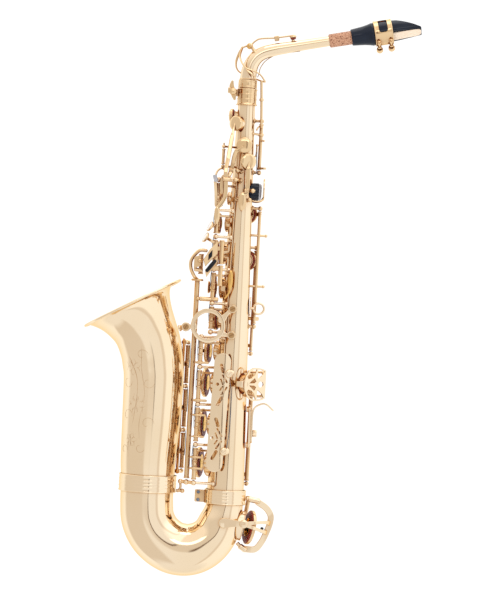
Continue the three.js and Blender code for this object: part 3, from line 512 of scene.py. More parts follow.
def pearl():
    made, shader = material("mother_of_pearl", (0.82, 0.8, 0.78), 0.16, Coat_Weight=0.8, Sheen_Weight=0.2)
    tinted(made, shader, noise(made, 90, 3, (1, 3, 1)), (0.35, (0.70, 0.74, 0.78)), (0.5, (0.86, 0.84, 0.80)),
        (0.65, (0.80, 0.72, 0.76)))
    return made


def blued_steel():
    made, shader = material("blued_steel", (0.16, 0.20, 0.28), 0.25, 1.0)
    tinted(made, shader, noise(made, 200, 2), (0.3, (0.10, 0.13, 0.20)), (0.7, (0.28, 0.32, 0.40)))
    return made


def felt():
    made, shader = material("black_felt", (0.02, 0.02, 0.022), 0.95, Sheen_Weight=0.3)
    tinted(made, shader, noise(made, 1500, 4), (0.3, (0.01,) * 3), (0.7, (0.05, 0.045, 0.04)))
    bump(made, shader, noise(made, 2500, 3), 0.0003, 0.7)
    return made


# The third colour of each brass is the painted shade that ambient occlusion brings into its corners.
BRASS = lacquered_brass("lacquered_brass", (0.92, 0.765, 0.565), (0.90, 0.735, 0.52), (0.62, 0.33, 0.10))
# The keywork's brass: a deeper, warmer copy of the body's brass, as painted shade for the crowded keys. Its
# painted corner shade is darker and reaches further.
KEYS = lacquered_brass("key_brass_painted_shade", (0.88, 0.675, 0.425), (0.83, 0.59, 0.335), (0.30, 0.11, 0.025),
    corners=(0.25, 0.97))
GOLD = lacquered_brass("resonator_brass", (0.90, 0.60, 0.22), (0.80, 0.48, 0.15), (0.5, 0.3, 0.12), (0.1, 0.2))
# A darker copy of the brass, as painted shade, for the neck stay and the bell brace's screws.
SHADED_BRASS = lacquered_brass("shaded_brass", (0.55, 0.34, 0.16), (0.45, 0.26, 0.11), (0.3, 0.16, 0.07),
    (0.15, 0.3))
ENGRAVED = lacquered_brass("engraved_line", (0.62, 0.42, 0.24), (0.50, 0.32, 0.17), (0.4, 0.2, 0.1), (0.3, 0.5))
LEATHER = leather()
EBONITE = ebonite("ebonite", (0.006, 0.012, 0.028), (0.06, 0.14))
ROLLER = ebonite("roller_plastic", (0.006, 0.008, 0.014), (0.12, 0.2))
# Pale grey ebonite: a painted highlight on the thumb rest's rounded face, and the grey of the front F touch.
PALE_GREY_AND_HIGHLIGHT = ebonite("grey_face_and_painted_highlight", (0.55, 0.56, 0.62), (0.25, 0.4))
CORK = cork()
CANE = cane()
PEARL = pearl()
STEEL = blued_steel()
FELT = felt()


# ---- Tone holes, pads and cups ----
def hole(axis_point, direction, rim, r):
    """A tone hole: a point on its axis, the way out, the rim's distance from the point and the radius."""
    return SimpleNamespace(axis=axis_point, out=direction.normalized(), rim=rim, r=r)


def chimney(build, h, tube_r):
    """A drawn tone hole: its wall starts inside the tube and ends in a rolled rim."""
    r, rim = h.r, h.rim
    start = sqrt(max(tube_r**2 - r**2, 1)) - 0.6
    steps = [radians(a) for a in range(-90, 181, 30)]
    lip = [(r - 0.35 + 0.6 * cos(a), rim - 0.6 + 0.6 * sin(a)) for a in steps]
    profile = [(r - 0.15, start), (r - 0.15, rim - 1.4), *lip, (r - 1, rim - 1), (r - 1, start)]
    build.lathe(profile, h.axis, h.out, 56, loop=True)


def chimney_bores(holes):
    cutters = Build()
    for h in holes:
        cutters.rod(h.axis + h.out * 2, h.axis + h.out * (h.rim + 3), h.r - 0.9, 56)
    return cutters


def seat(h):
    """The middle of a tone hole's closed pad, on the side of the rim."""
    return h.axis + h.out * (h.rim + GAP)


def cup_back(h):
    return h.axis + h.out * (h.rim + GAP + PAD + CUP)


def cup(build, h, r):
    """A key cup: a shallow pan with a rolled edge, a raised ring and a low boss."""
    build.lathe([(0, 2.4), (r - 1.3, 2.4), (r - 1.1, 1.6), (r - 0.7, 1.3), (r - 0.15, 1.45), (r, 1.9),
        (r, 3.6), (r - 0.25, 4.5), (r - 1.0, 5.1), (r * 0.82, RISE - 0.45), (r * 0.78, RISE - 0.2),
        (r * 0.74, RISE - 0.35), (r * 0.4, RISE - 0.05), (r * 0.24, RISE), (r * 0.2, RISE + 0.35),
        (0, RISE + 0.45)], seat(h), h.out, ROUND)


def domed_cup(build, h, r):
    """A small plain cup, like those of the palm keys."""
    build.lathe([(0, 2.4), (r - 1.0, 2.4), (r - 0.7, 1.5), (r - 0.1, 1.5), (r, 2.0), (r, 3.8), (r - 0.3, 4.6),
        (r * 0.85, RISE - 0.65), (r * 0.6, RISE - 0.25), (r * 0.3, RISE - 0.05), (0, RISE)],
        seat(h), h.out, ROUND)


# A resonator's rings: each one's share of the radius and how far it stands up.
RIBS = [(k / 10, 0.22 if k % 2 else 0) for k in range(9, 0, -1)]


def pad_piece(name, body, h, r, node=None, matrix=None, resonator=True):
    """A leather pad with its seat mark and, on the larger ones, a ribbed resonator."""
    pad_r, mark = r - 0.9, h.r - 0.35
    profile = [(0, 0.35), (mark - 1.6, 0.3), (mark - 0.7, 0.28), (mark, 0.5), (mark + 0.7, 0.3),
        (pad_r - 0.9, 0.35), (pad_r - 0.25, 0.9), (pad_r, 1.7), (pad_r - 0.1, 2.6), (pad_r - 0.6, 3.3),
        (0, 3.3)]
    pad = Build().lathe(profile, seat(h), h.out, ROUND).moved(matrix).finish(name, body, LEATHER, node)
    if resonator:
        dome = h.r * 0.62
        ribs = [(dome * q, -0.25 - 0.45 * (1 - q**2) - raised) for q, raised in RIBS]
        shape = Build().lathe([(0, 0.6), (dome, 0.6), (dome, -0.1), *ribs, (0, -0.95)], seat(h), h.out, ROUND)
        shape.moved(matrix).finish(name + "_resonator", body, GOLD)


def post(build, foot, head, r=BALL_R - 0.5):
    """A soldered foot, a waisted stem and a ball head."""
    d = head - foot
    n = d.length
    build.turned([(STEM_R + 1.5, -1), (STEM_R + 1.5, 0.9), (STEM_R + 1.1, 1.3), (STEM_R + 0.2, 2.2),
        (STEM_R, min(4, n * 0.5)), (STEM_R * 0.9, n)], foot, d, 20)
    build.ball(head, r)


def collars(build, a, b, r=TUBE_R, extra=()):
    """A hinge tube with a collar at each end and wherever `extra` says."""
    build.rod(a, b, r, 28)
    n = (b - a).length
    d = (b - a).normalized()
    for h in (0.9, n - 0.9, *extra):
        build.rod(a + d * (h - 0.8), a + d * (h + 0.8), r + 0.55, 28, 0.35)


def hinge(build, rod, ends, r=TUBE_R, extra=()):
    """An upright hinge tube at a rod's (x, y), from one height to another."""
    collars(build, V(*rod, ends[0]), V(*rod, ends[1]), r, extra)


# ---- Main tubes ----
UPPER_POSTS = [147.5, 112.2, 81.2, 43, 3.5, -30]
LOWER_POSTS = [-36, -71, -114.5, -161.5, -206]
UPPER_STACK = [("b", 127, 7.5), ("bis", 97.5, 9.5), ("a", 62, 11.5), ("g", 22, 12.5), ("g_sharp", -15, 10)]
LOWER_STACK = [("f_sharp", -52.5, 12.5), ("f", -90, 14.5), ("e", -138, 15), ("d", -184, 15.4)]
PALM_HOLES = {"palm_f": (49, 214.5, 6.6), "palm_eb": (90, 189, 6.8), "palm_d": (109, 170.5, 6.8)}
SIDES = {
    "side_e": {"phi": -10, "z": 224, "r": 5.6, "rod": (-8.5, 21.5), "tube": (14, 214), "arm": 208,
               "touch": 20, "reach": [(-13, 30)]},
    "side_c": {"phi": -120, "z": 110.5, "r": 8.5, "rod": (22.5, 4.5), "tube": (-18, 114), "arm": 110.5,
               "touch": -12, "reach": [(27, 12), (24, 24), (10, 33)]},
    "side_bb": {"phi": -122, "z": 56, "r": 9.5, "rod": (20.5, 15.5), "tube": (-50, 68), "arm": 56,
                "touch": -44, "reach": [(16, 26), (8, 33)]},
}
EB = {"z": -88, "r": 10, "phi": 150, "rod": (24, 17), "tube": (-203, -80)}
OCTAVE_ROD = {"x": 18.7, "bottom": 162, "top": 216}
LEVER = {"x": 9.5, "z": 126, "half": 19.8}


def body_hole(phi, z, r):
    return hole(V(0, 0, z), out(phi), body_r(z) + CHIMNEY, r)


STACK_HOLES = {name: body_hole(UPPER_TURN, z, r) for name, z, r in UPPER_STACK}
STACK_HOLES.update({name: body_hole(LOWER_TURN, z, r) for name, z, r in LOWER_STACK})
EB_HOLE = body_hole(EB["phi"], EB["z"], EB["r"])
BODY_HOLES = [*STACK_HOLES.values(), *[body_hole(*p) for p in PALM_HOLES.values()],
    *[body_hole(s["phi"], s["z"], s["r"]) for s in SIDES.values()], EB_HOLE]


def cone_normals(piece):
    """Gives the conical wall its true normals, which the cuts would otherwise disturb."""
    mesh = piece.data
    lean = (FOOT_R - TOP_R) / (TOP_Z - FOOT_Z)
    normals = [(0.0, 0.0, 0.0)] * len(mesh.loops)
    for polygon in mesh.polygons:
        for index in polygon.loop_indices:
            p = mesh.vertices[mesh.loops[index].vertex_index].co * 1000
            x, y = p.x + RING_X, p.y
            rho = hypot(x, y)
            side = polygon.normal.x * x + polygon.normal.y * y
            if abs(polygon.normal.z) < 0.2 and side > 0.97 * rho and rho > body_r(p.z) - 0.6:
                normals[index] = tuple(Vector((x / rho, y / rho, lean)).normalized())
    mesh.normals_split_custom_set(normals)


def body_tube():
    tube = Build()
    rings = [(FOOT_R, FOOT_Z), (TOP_R, TOP_Z), (TOP_R - WALL, TOP_Z), (FOOT_R - WALL, FOOT_Z)]
    tube.skin([[V(r * cos(a), r * sin(a), z) for a in turns(120)] for r, z in rings], loop=True)
    piece = tube.stand_in("body_tube", "body", BRASS)
    pierced(piece, chimney_bores(BODY_HOLES))
    piece.modifiers.remove(piece.modifiers[SHADING])
    cone_normals(piece)

    rims = Build()
    for h in BODY_HOLES:
        chimney(rims, h, body_r(h.axis.z))
    rims.finish("body_tone_hole_rims", "body", BRASS)

    posts = Build()
    for rod, tube_z in [(s["rod"], s["tube"]) for s in SIDES.values()] + [(EB["rod"], EB["tube"])]:
        for z in (tube_z[1] + POST_GAP, tube_z[0] - POST_GAP):
            post(posts, on_body(*rod, z), V(*rod, z), 2.8)
    for z in (OCTAVE_ROD["top"] + POST_GAP, OCTAVE_ROD["bottom"] - POST_GAP):
        post(posts, on_body(OCTAVE_ROD["x"], 0, z), V(OCTAVE_ROD["x"], 0, z), 2.8)
    for key in PALMS:
        head = V(key["head"], key["pivot"].y, key["pivot"].z)
        post(posts, on_body(*key["foot"], head.z), head, 2.6)
        posts.screw(head + X * 2.9, X, 1.5)
    for side in (1, -1):
        post(posts, on_body(-5, 12 * side, LEVER["z"]), V(LEVER["x"], LEVER["half"] * side, LEVER["z"]), 2.6)
    posts.finish("body_posts", "body", KEYS)


def swept_tube(sections, wall, sides=96):
    """A thin tube through (x, z, radius, tilt) sections."""
    def ring(x, z, r, tilt):
        t = radians(tilt)
        flat = V(cos(t), 0, -sin(t))
        return [V(x, 0, z) + flat * r * cos(a) + Y * r * sin(a) for a in turns(sides)]

    inside = [ring(x, z, r - wall, t) for x, z, r, t in reversed(sections)]
    return Build().skin([ring(*s) for s in sections] + inside, loop=True)


def along(points, count):
    """Sections square to a path of (x, z, radius)."""
    path = curve(points, count)
    steps = [heading(path, i) for i in range(count)]
    return [(*p, degrees(atan2(step.x, step.y))) for p, step in zip(path, steps)]


BOW = [(0, -218, 21.4), (0, -231.5, 21.4), (-3.5, -250, 25), (-11, -267.5, 26.8), (-24, -280, 29),
    (-41, -286, 30.5), (-60, -283.5, 31), (-78, -271, 31.2), (-88.5, -253, 31.2), (-91.3, -232, 31),
    (BELL_X, -211, 31)]
LOW_C = {"x": -3.5, "z": -251, "rim": 26.3, "lean": 9, "turn": 5, "r": 17.5, "open": 11}
LEAN, TURN = radians(LOW_C["lean"]), radians(LOW_C["turn"])
LOW_C_UP = V(sin(LEAN), 0, cos(LEAN))
LOW_C_OUT = V(cos(LEAN), tan(TURN), -sin(LEAN)).normalized()
LOW_C_HOLE = hole(V(LOW_C["x"], 0, LOW_C["z"]), LOW_C_OUT, LOW_C["rim"], LOW_C["r"])
BELL_ROD = (-53.5, 27)
BELL_KEYS = [
    {"name": "low_bb_key", "x": -88.5, "z": -70, "rim": 37.5, "r": 20.5, "tube": (-92.5, -47.5)},
    {"name": "low_b_key", "x": -90, "z": -122, "rim": 36, "r": 20.5, "tube": (-144, -99.5)},
    {"name": "low_c_sharp_key", "x": -91.5, "z": -173, "rim": 34.5, "r": 19.5, "tube": (-192.5, -151)},
]
BELL_POSTS = [-44, -96, -147.5, -196]
BELL = [(BELL_X, -208, 31.2, 0), (-92.2, -184, 32.3, 0), (-91.2, -137, 34.2, 0), (-91, -90, 35.1, 0),
    (-92.5, -74, 35.6, -3), (-94.8, -60, 36.2, -6), (-100, -43, 37.6, -11), (-107.5, -30, 40, -16),
    (-114.3, -19.5, 43, -21.5), (-120, -11, 47.5, -26), (-122.5, -5.5, 52, -28.5), (-122, -2.5, 57, -28.8),
    (-120.2, -1.5, 61.2, -28.8)]


def bell_hole(key):
    return hole(V(key["x"], 0, key["z"]), Y, key["rim"], key["r"])


def bow_and_bell():
    bow = swept_tube(along(BOW, 90), WALL).stand_in("bow", "body", BRASS)
    pierced(bow, chimney_bores([LOW_C_HOLE]))
    rims = Build()
    chimney(rims, LOW_C_HOLE, 25)
    for key in BELL_KEYS:
        chimney(rims, bell_hole(key), 34)
    rims.finish("bell_tone_hole_rims", "body", BRASS)
    bell = swept_tube([tuple(s) for s in curve(BELL, 120)], WALL, 120).stand_in("bell", "body", BRASS)
    pierced(bell, chimney_bores([bell_hole(key) for key in BELL_KEYS]))
    x, z, r, tilt = BELL[-1]
    t = radians(tilt)
    Build().ring(V(x, 0, z), V(sin(t), 0, cos(t)), r + 0.1, 1.6, 120).finish("bell_rim_roll", "body", BRASS)


# ---- Rings, receiver, brace ----
def ribbed_band(name, x, top, bottom, r):
    """A plain band with a bead at each edge and three fine lines between."""
    h = top - bottom
    profile = [(r - 0.2, 0), (r + 0.9, 0), (r + 1.5, 0.5), (r + 1.5, 1.3), (r + 1.0, 1.7)]
    for z in (h * 0.3, h * 0.5, h * 0.7):
        profile += [(r + 1.05, z - 0.7), (r + 1.4, z - 0.35), (r + 1.4, z + 0.35), (r + 1.05, z + 0.7)]
    profile += [(r + 1.0, h - 1.7), (r + 1.5, h - 1.3), (r + 1.5, h - 0.5), (r + 0.9, h), (r - 0.2, h)]
    return Build().lathe(profile, V(x, 0, bottom), Z, 96, loop=True).stand_in(name, "body", BRASS, sharp=60)


def rings():
    ribbed_band("body_bow_ring", 0, -213, -230, 23)
    lug = Build()
    for y in (-2.4, 2.4):
        lug.block(V(-29.5, y, -222), (12, 3, 14), soft=1.0)
    heads = Build()
    for z in (-217.5, -226.5):
        heads.screw(V(-31.5, -4.9, z), -Y, 1.9)
        lug.rod(V(-31.5, -4, z), V(-31.5, 4.6, z), 1.2)
    lug.finish("body_bow_ring_clamp", "body", KEYS)
    heads.finish("body_bow_ring_screws", "body", STEEL)
    ribbed_band("bell_bow_ring", BELL_X, -200, -220, 32.4)


def receiver():
    profile = [(9.4, 2.2), (10.3, 2), (10.3, 0), (12.2, 0), (12.5, 0.4), (12.3, 0.9), (11.3, 1.7), (11.1, 3)]
    for z in (6.4, 12):
        profile += [(11.1, z), (11.5, z + 0.5), (11.5, z + 1.1), (11.1, z + 1.6)]
    profile += [(11.1, 17.2), (11.7, 17.8), (11.8, 18.7), (11.5, 19.3), (9.4, 19.4)]
    sleeve = Build().lathe(profile, V(0, 0, 236.8), Z, 80, loop=True)
    piece = sleeve.stand_in("neck_receiver", "body", KEYS)
    pierced(piece, Build().block(V(-13, 0, 252), (8, 1.6, 14), soft=0.1))
    ears = Build()
    for y in (-2.7, 2.7):
        ears.rod(V(-16, y - 1.5, 251), V(-16, y + 1.5, 251), 4, 32, 0.5)
        ears.block(V(-13, y, 251), (5.5, 3, 7.6))
    ears.finish("neck_receiver_ears", "body", KEYS)

    screw = Build().rod(V(-16.5, -14, 251), V(-16.5, 9, 251), 1.4)
    screw.turned([(3.0, 0), (4.2, 0.9), (4.4, 3), (3.4, 5.4), (2.2, 8)], V(-16.8, -15.6, 251.4), Y)
    for mid, tip in (((-18.4, -13.4, 257.6), (-18.0, -13.4, 262.6)),
            ((-15.6, -13.4, 246.8), (-14.4, -13.4, 242.6))):
        screw.strap([(-16.8, -13.4, 251.4), mid, tip], (5.4, 2.0, 0.9), Y, widths=[1.0, 1.0, 0.55])
    screw.block(V(-20.8, -13.7, 252.4), (3.6, 3.4, 6.6), soft=0.9)
    screw.stand_in("neck_screw", "neck_screw", KEYS)


def brace():
    c, y, arm = V(-30.4, 0, -22.8), -29, (6, 2.8, 1.0)
    build, heads = Build(), Build()
    profile = [(15, 0.5), (15.6, 0), (19.4, 0), (20, 0.6), (20, 2.4), (19.4, 3), (15.6, 3), (15, 2.5)]
    build.lathe(profile, V(c.x, y, c.z), Y, 96, loop=True)
    for x, z in [(-3.1, -1.9), (-2.9, -32.4)]:
        side = copysign(1, z - c.z)
        start, end = V(c.x + 15.5, y + 1.5, c.z + side * 8), V(x, y + 1.5, z)
        build.strap([start, start.lerp(end, 0.5) + V(0, 0, side * 0.8), end], arm, Y, widths=[1.5, 0.8, 1.15])
        build.turned([(4.6, 0), (5, 0.7), (5, 3.6), (4.4, 4.4)], V(x, y - 0.9, z), Y)
        build.turned([(4.6, 0), (4.6, 1), (3.2, 2.4), (2.9, 4), (2.9, 9)], V(x, -(body_r(z) + GAP), z), -Y, 32)
        heads.screw(V(x, y - 1.9, z), -Y, 3.4, 0.5)
    boss, bell_end = V(-56, y, -25.4), V(-63.5, -17, -27.5)
    start = V(c.x - 17, y + 1.5, c.z - 2)
    build.strap([start, start.lerp(boss + Y * 1.5, 0.5), boss + Y * 1.5], arm, Y, widths=[1.5, 0.85, 1.2])
    build.turned([(4.8, 0), (5.2, 0.7), (5.2, 4.4), (4.4, 5.4)], boss - Y * 0.9, Y)
    heads.screw(boss - Y * 1.9, -Y, 3.4, 1.1)
    build.wire([boss + Y * 3, boss.lerp(bell_end, 0.5) + V(-1, 4, 0), (-63.3, -17.3, -27.5)], 3.0, sides=24,
        widths=[1.2, 0.9, 1.3])
    build.stand_in("bell_brace", "body", BRASS)
    # Painted shade: the screws take the darker copy of the brass.
    heads.finish("bell_brace_screws", "body", SHADED_BRASS)


# ---- Guards ----
def circle(x, z, r, count=24):
    return [(x + r * cos(a), z + r * sin(a)) for a in turns(count)]


def stadium(a, b, r):
    """The outline of a slot with round ends, from a to b."""
    start = atan2(b[1] - a[1], b[0] - a[0]) - pi / 2
    ends = [(b, start), (a, start + pi)]
    return [(x + r * cos(turn + pi * k / 8), z + r * sin(turn + pi * k / 8)) for (x,
        z), turn in ends for k in range(9)]


def bent(piece, folds, back):
    """Bends the part of a plate in front of `back` away from the camera, a little at each fold."""
    bm = bmesh.new()
    bm.from_mesh(piece.data)
    for x in folds:
        place = TO_ROW @ V(x, back, 0)
        geom = []
        for e in (*bm.verts, *bm.edges, *bm.faces):
            if all((v.co - place).y < 0 for v in getattr(e, "verts", [e])):
                geom.append(e)
        bmesh.ops.bisect_plane(bm, geom=geom, dist=1e-7, plane_co=place, plane_no=(1, 0, 0))
    for v in bm.verts:
        if (v.co - TO_ROW @ V(0, back, 0)).y < 0:
            v.co.y += sum(max(0, v.co.x - (TO_ROW @ V(x, 0, 0)).x) * 0.045 for x in folds)
    bm.to_mesh(piece.data)
    bm.free()
    piece.data.set_sharp_from_angle(angle=radians(52))


# Slots of the upper openwork flower: both ends' (x, z) and the radius.
GUARD_SLOTS = [(-12.4, -67.5, -9.6, -75.2, 1.9), (-10.2, -78.8, -4.9, -87.0, 1.0),
    (-14.4, -113.2, -10.2, -105.2, 1.9), (-10.6, -101.4, -5.0, -93.0, 1.0), (-12.2, -83.6, -9.6, -89.6, 0.8),
    (-12.6, -96.4, -9.8, -92.0, 0.8)]


def side_guard():
    half, y = 9.6, -34
    top, bottom = (-11, -53.5 - half), (-14.5, -191.5 + half)
    arc = [(half * cos(pi * i / 20), half * sin(pi * i / 20)) for i in range(21)]
    outline = [(top[0] + u, top[1] + v) for u, v in arc] + [(bottom[0] - u, bottom[1] - v) for u, v in arc]
    holes = []
    for dx, dz in ((0, 0), (-2.9, -62.5)):
        holes.append(circle(-15.8 + dx, -89.6 + dz, 1.9))
        for x1, z1, x2, z2, r in GUARD_SLOTS:
            holes.append(stadium((x1 + dx, z1 + dz), (x2 + dx, z2 + dz), r))
    build = Build().plate(outline, holes, V(0, y + 1.6, 0), X, Z, 1.6)
    for x, z in [(-2.6, -76.9), (-4.2, -167.2)]:
        foot, head = V(x * 0.4, -(body_r(z) + GAP), z), V(x, y - 0.6, z)
        d = head - foot
        build.turned([(4.2, 0), (4.2, 0.9), (2.6, 2), (2.1, 4), (2.1, d.length)], foot, d, 32)
        build.turned([(4.3, 0), (4.5, 0.5), (4.5, 2.2), (3.6, 3.0)], V(x, y + 0.9, z), -Y)
        build.screw(V(x, y - 2.5, z), -Y, 2.7, 0.8)
    bent(build.stand_in("side_guard", "body", BRASS), (-10, -8.5, -7, -5.5, -4), y + 2)


def eb_guard():
    phi, rho, size, z = 141, 33, 19.5, EB["z"]

    def spot(r, t, dz):
        return at(phi, r, z + dz) - tangent(phi) * t

    def arc(first, last, r, count):
        angles = [radians(first + (last - first) * k / count) for k in range(count + 1)]
        return [(r * cos(a), r * sin(a)) for a in angles]

    outline = [(19.2, -16.4), (19.4, 0), (19.2, 16.4), (13, 18.3), (6.5, 19.2), *arc(90, 270, size, 40),
        (6.5, -19.2), (13, -18.3)]
    far = [(4.2, 17.6), (11, 16.9), (16.6, 15.2), (13.5, 11.2), (9, 8.2), (4.2, 6.2)]
    near = [(2.0, 17.4), *arc(96, 150, 17.5, 14), (-12.5, 6.0), (-6.5, 7.0), (-1.5, 10.5)]
    middle = [(-6.4, 4.4), (-1.2, 7.4), (1.8, 3.2), (-2, 1.4), (-11, 1.2)]
    windows = [far, near, middle]
    windows += [[(u, -v) for u, v in reversed(w)] for w in windows]
    windows.append([(10.5 + 4.6 * cos(a), 3.6 * sin(a)) for a in turns(28)])
    build = Build().plate(outline, windows, spot(rho + 1.6, 0, 0), -tangent(phi), Z, 1.6)
    near_foot = [spot(rho + 0.8, -size + 2, 0), spot(rho - 1.5, -size - 1.5, 0),
        spot(rho - 7, -size - 2.5, 0), at(88, body_r(z) + 1.5, z)]
    build.strap(near_foot, (7, 1.8), V(0.3, -1, 0).normalized(), widths=[1.3, 1.0, 0.9, 1.2])
    build.turned([(4.5, 0), (4.5, 1.2), (3.6, 2.1)], at(88, body_r(z) + GAP, z), out(88), 32)
    for dz in (-14, 14):
        foot = at(176, body_r(z + dz) + 1.2, z + dz)
        build.wire([spot(rho + 0.5, size - 3, dz * 0.9), spot(rho - 4, size + 1, dz), foot], 1.6)
    build.stand_in("eb_guard", "body", BRASS)


def low_c_guard():
    y = -2
    arc = [V(x, y, z) for x, z in [(39, -226), (49, -232.5), (54.5, -241), (54, -250), (50.5, -261),
        (45, -273), (38, -281), (26, -281.5)]]
    boss = V(23.5, -35, -249.5)
    face = V(0.42, -1, 0).normalized()
    build = Build().strap(arc, (7.5, 1.6), face, count=80)
    for a, b, *more in [((27.5, -222.8), (41, -225), 3.4, 32, 0.8), ((25.3, -222.5), (29, -223), 2.2),
            ((20, -278), (28, -283), 3.4, 32, 0.8), ((17, -274.6), (22, -280), 2.2)]:
        build.rod(V(a[0], y, a[1]), V(b[0], y, b[1]), *more)
    build.strap([arc[3], (50, -15, -248), (40, -29, -247.5), boss], (4, 1.8), face, widths=[1.4, 1, 0.9, 1.3])
    build.strap([arc[4], (47.5, -15, -259), (38, -29, -255), boss], (4, 1.8), face, widths=[1.4, 1, 0.9, 1.3])
    build.turned([(4.5, 0), (4.9, 0.6), (4.9, 3), (4.1, 3.9)], V(boss.x, -33.2, boss.z), -Y)
    build.screw(V(boss.x, -37.5, boss.z), -Y, 2.9, 0.3)
    build.strap([boss, (16, -35, -249.5), (9, -33.4, -249.5), (1, -30, -250)], (9, 1.8),
        V(-0.2, -1, 0).normalized(), widths=[0.7, 0.8, 1, 1.3])
    build.rod(V(0, -31, -250), V(0, -26, -250), 5.6, 32, 0.6)
    build.stand_in("low_c_guard", "body", BRASS)
    bumper = Build().rod(V(43, y + 0.5, -257.7), V(46.5, y + 0.5, -258.6), 3.4, 32, 0.9)
    bumper.finish("low_c_felt", "body", FELT)


def bell_guard():
    y = 62
    legs = [(-47.5, -101, 38.9), (-96, -91, 35.1), (-147.5, -91.3, 34), (-197.3, -91.8, 31.8)]
    build = Build().strap([(-89, y, legs[0][0]), (-90.5, y, -122), (-92, y, legs[-1][0])], (9, 1.6), Y,
        count=40)
    for z, x, r in legs:
        foot = V(x - (r + 1.6) * 0.766, (r + 1.6) * 0.643, z)
        build.strap([(-91, y - 0.5, z), (-106, y - 3.5, z), (-116, y - 12, z), (-123, 40, z), (-121, 29, z),
            foot], (4.4, 1.8), V(-0.5, 1, 0).normalized(), widths=[1.6, 1.0, 0.9, 0.9, 1, 1.6])
    build.stand_in("bell_key_guard", "body", BRASS)


# ---- Thumb hook, rest and strap ring ----
def thumb_pieces():
    plate_x = body_r(-138) + GAP + 3.4
    build = Build().plate(rounded(13, 52, 6.0), [], V(plate_x - 0.6, 0, -138.5), Y,
        V(1.2, 0, -51).normalized() * -1, 2.2, 0.5)
    for z, lift in ((-118, 0), (-160, 1)):
        build.rod(V(body_r(z) + GAP, 0, z), V(plate_x + lift, 0, z), 3.5, 32)
        build.screw(V(plate_x + 1.9 + lift * 0.6, 0, z), X, 2.6, 0.4)
    build.stand_in("thumb_hook_plate", "body", BRASS)

    x = plate_x + 2.5
    side = [(1.2, -152), (1.0, -138), (1.0, -124), (2.4, -117.5), (5.8, -113.6), (13, -110.6), (18, -112),
        (22, -115.4)]
    hook = Build().strap([V(x + dx, 0, z) for dx, z in side], (11, 2), X, count=60,
        widths=[1, 1, 0.9, 0.9, 1, 1.1, 1.1, 0.8])
    knurl = [(3.75 + 0.35 * (i % 2), a) for i, a in enumerate(turns(48))]
    centre = V(x + 2, 0, -146)
    hook.skin([[centre + X * h + Y * r * s * cos(a) + Z * r * s * sin(a) for r, a in knurl] for h, s in [(0,
        0.8), (0.5, 1), (4.4, 1), (5.2, 0.85)]])
    hook.stand_in("thumb_hook", "thumb_hook", BRASS)

    rest = Build().turned([(10.0, 1), (10.4, 2), (10.4, 11.6), (10.1, 12.2), (9.6, 12.5)], V(7.5, 0, 136.3),
        X, 64)
    piece = rest.stand_in("thumb_rest", "body", EBONITE)
    pierced(piece, Build().rod(V(0, 0, 120), V(0, 0, 160), body_r(120) + GAP, 64))
    # The rest's rounded outer face in pale grey: a painted highlight on the black rest.
    face = Build().lathe([(0, 0), (9.4, 0), (9.6, 0.4), (9.4, 1.5), (8.4, 2.5), (5.5, 3.0), (0, 3.1)],
        V(20, 0, 136.3), X, 56)
    face.finish("thumb_rest_face", "body", PALE_GREY_AND_HIGHLIGHT)

    plate_x = body_r(4) + GAP + 0.9
    ring = Build().ring(V(RING_X, 0, 0), Y, 6.2, 1.3, 64)
    ring.plate([(u, v + 2) for u, v in rounded(10, 22, 4.8)], [], V(plate_x - 0.6, 0, 0), Y, Z, 1.4)
    ring.strap([(plate_x, 0, 0), (RING_X - 5.2, 0, 0)], (5, 3, 1.2), Z, count=6, round_ends=False)
    ring.stand_in("strap_ring", "body", BRASS)


# ---- Ribs with the stack keys' posts ----
def rib(name, posts, rod, also=None):
    def strip(z, lift):
        return at(RIB_TURN, body_r(z) + GAP + lift, z)

    build = Build()
    ends = posts[0] + 0.5, (posts[0] + posts[-1]) / 2, posts[-1] - 0.5
    build.strap([strip(z, 0.8) for z in ends], (6, 1.2), out(RIB_TURN), count=24)
    for z in posts:
        post(build, strip(z, 1.4), V(*rod, z), BALL_R - 0.35)
    if also:
        also(build)
    build.stand_in(name, "body", BRASS)


LONG_ROD = (-46, -14)


def lower_carrier(build):
    foot = LOWER_POSTS[-1]
    far, end = V(*LONG_ROD, foot), V(-53, -9, foot)
    build.rod(V(*LOWER_ROD, foot), far, 2.1)
    build.rod(far, end, 2.1)
    build.ball(far, 3.2)
    build.ball(end, 2.9)


def ribs():
    rib("upper_stack_rib", UPPER_POSTS, UPPER_ROD)
    rib("lower_stack_rib", LOWER_POSTS, LOWER_ROD, lower_carrier)
    strip = Build().strap([(-58.2, 17.5, -42), (-58.2, 17.5, -120), (-58.2, 17.5, -195)], (5, 1.4),
        V(1, 0.6, 0).normalized(), count=30)
    for z in BELL_POSTS:
        post(strip, V(-57.8, 18, z), V(*BELL_ROD, z), 2.8)
    strip.stand_in("bell_key_rib", "body", BRASS)


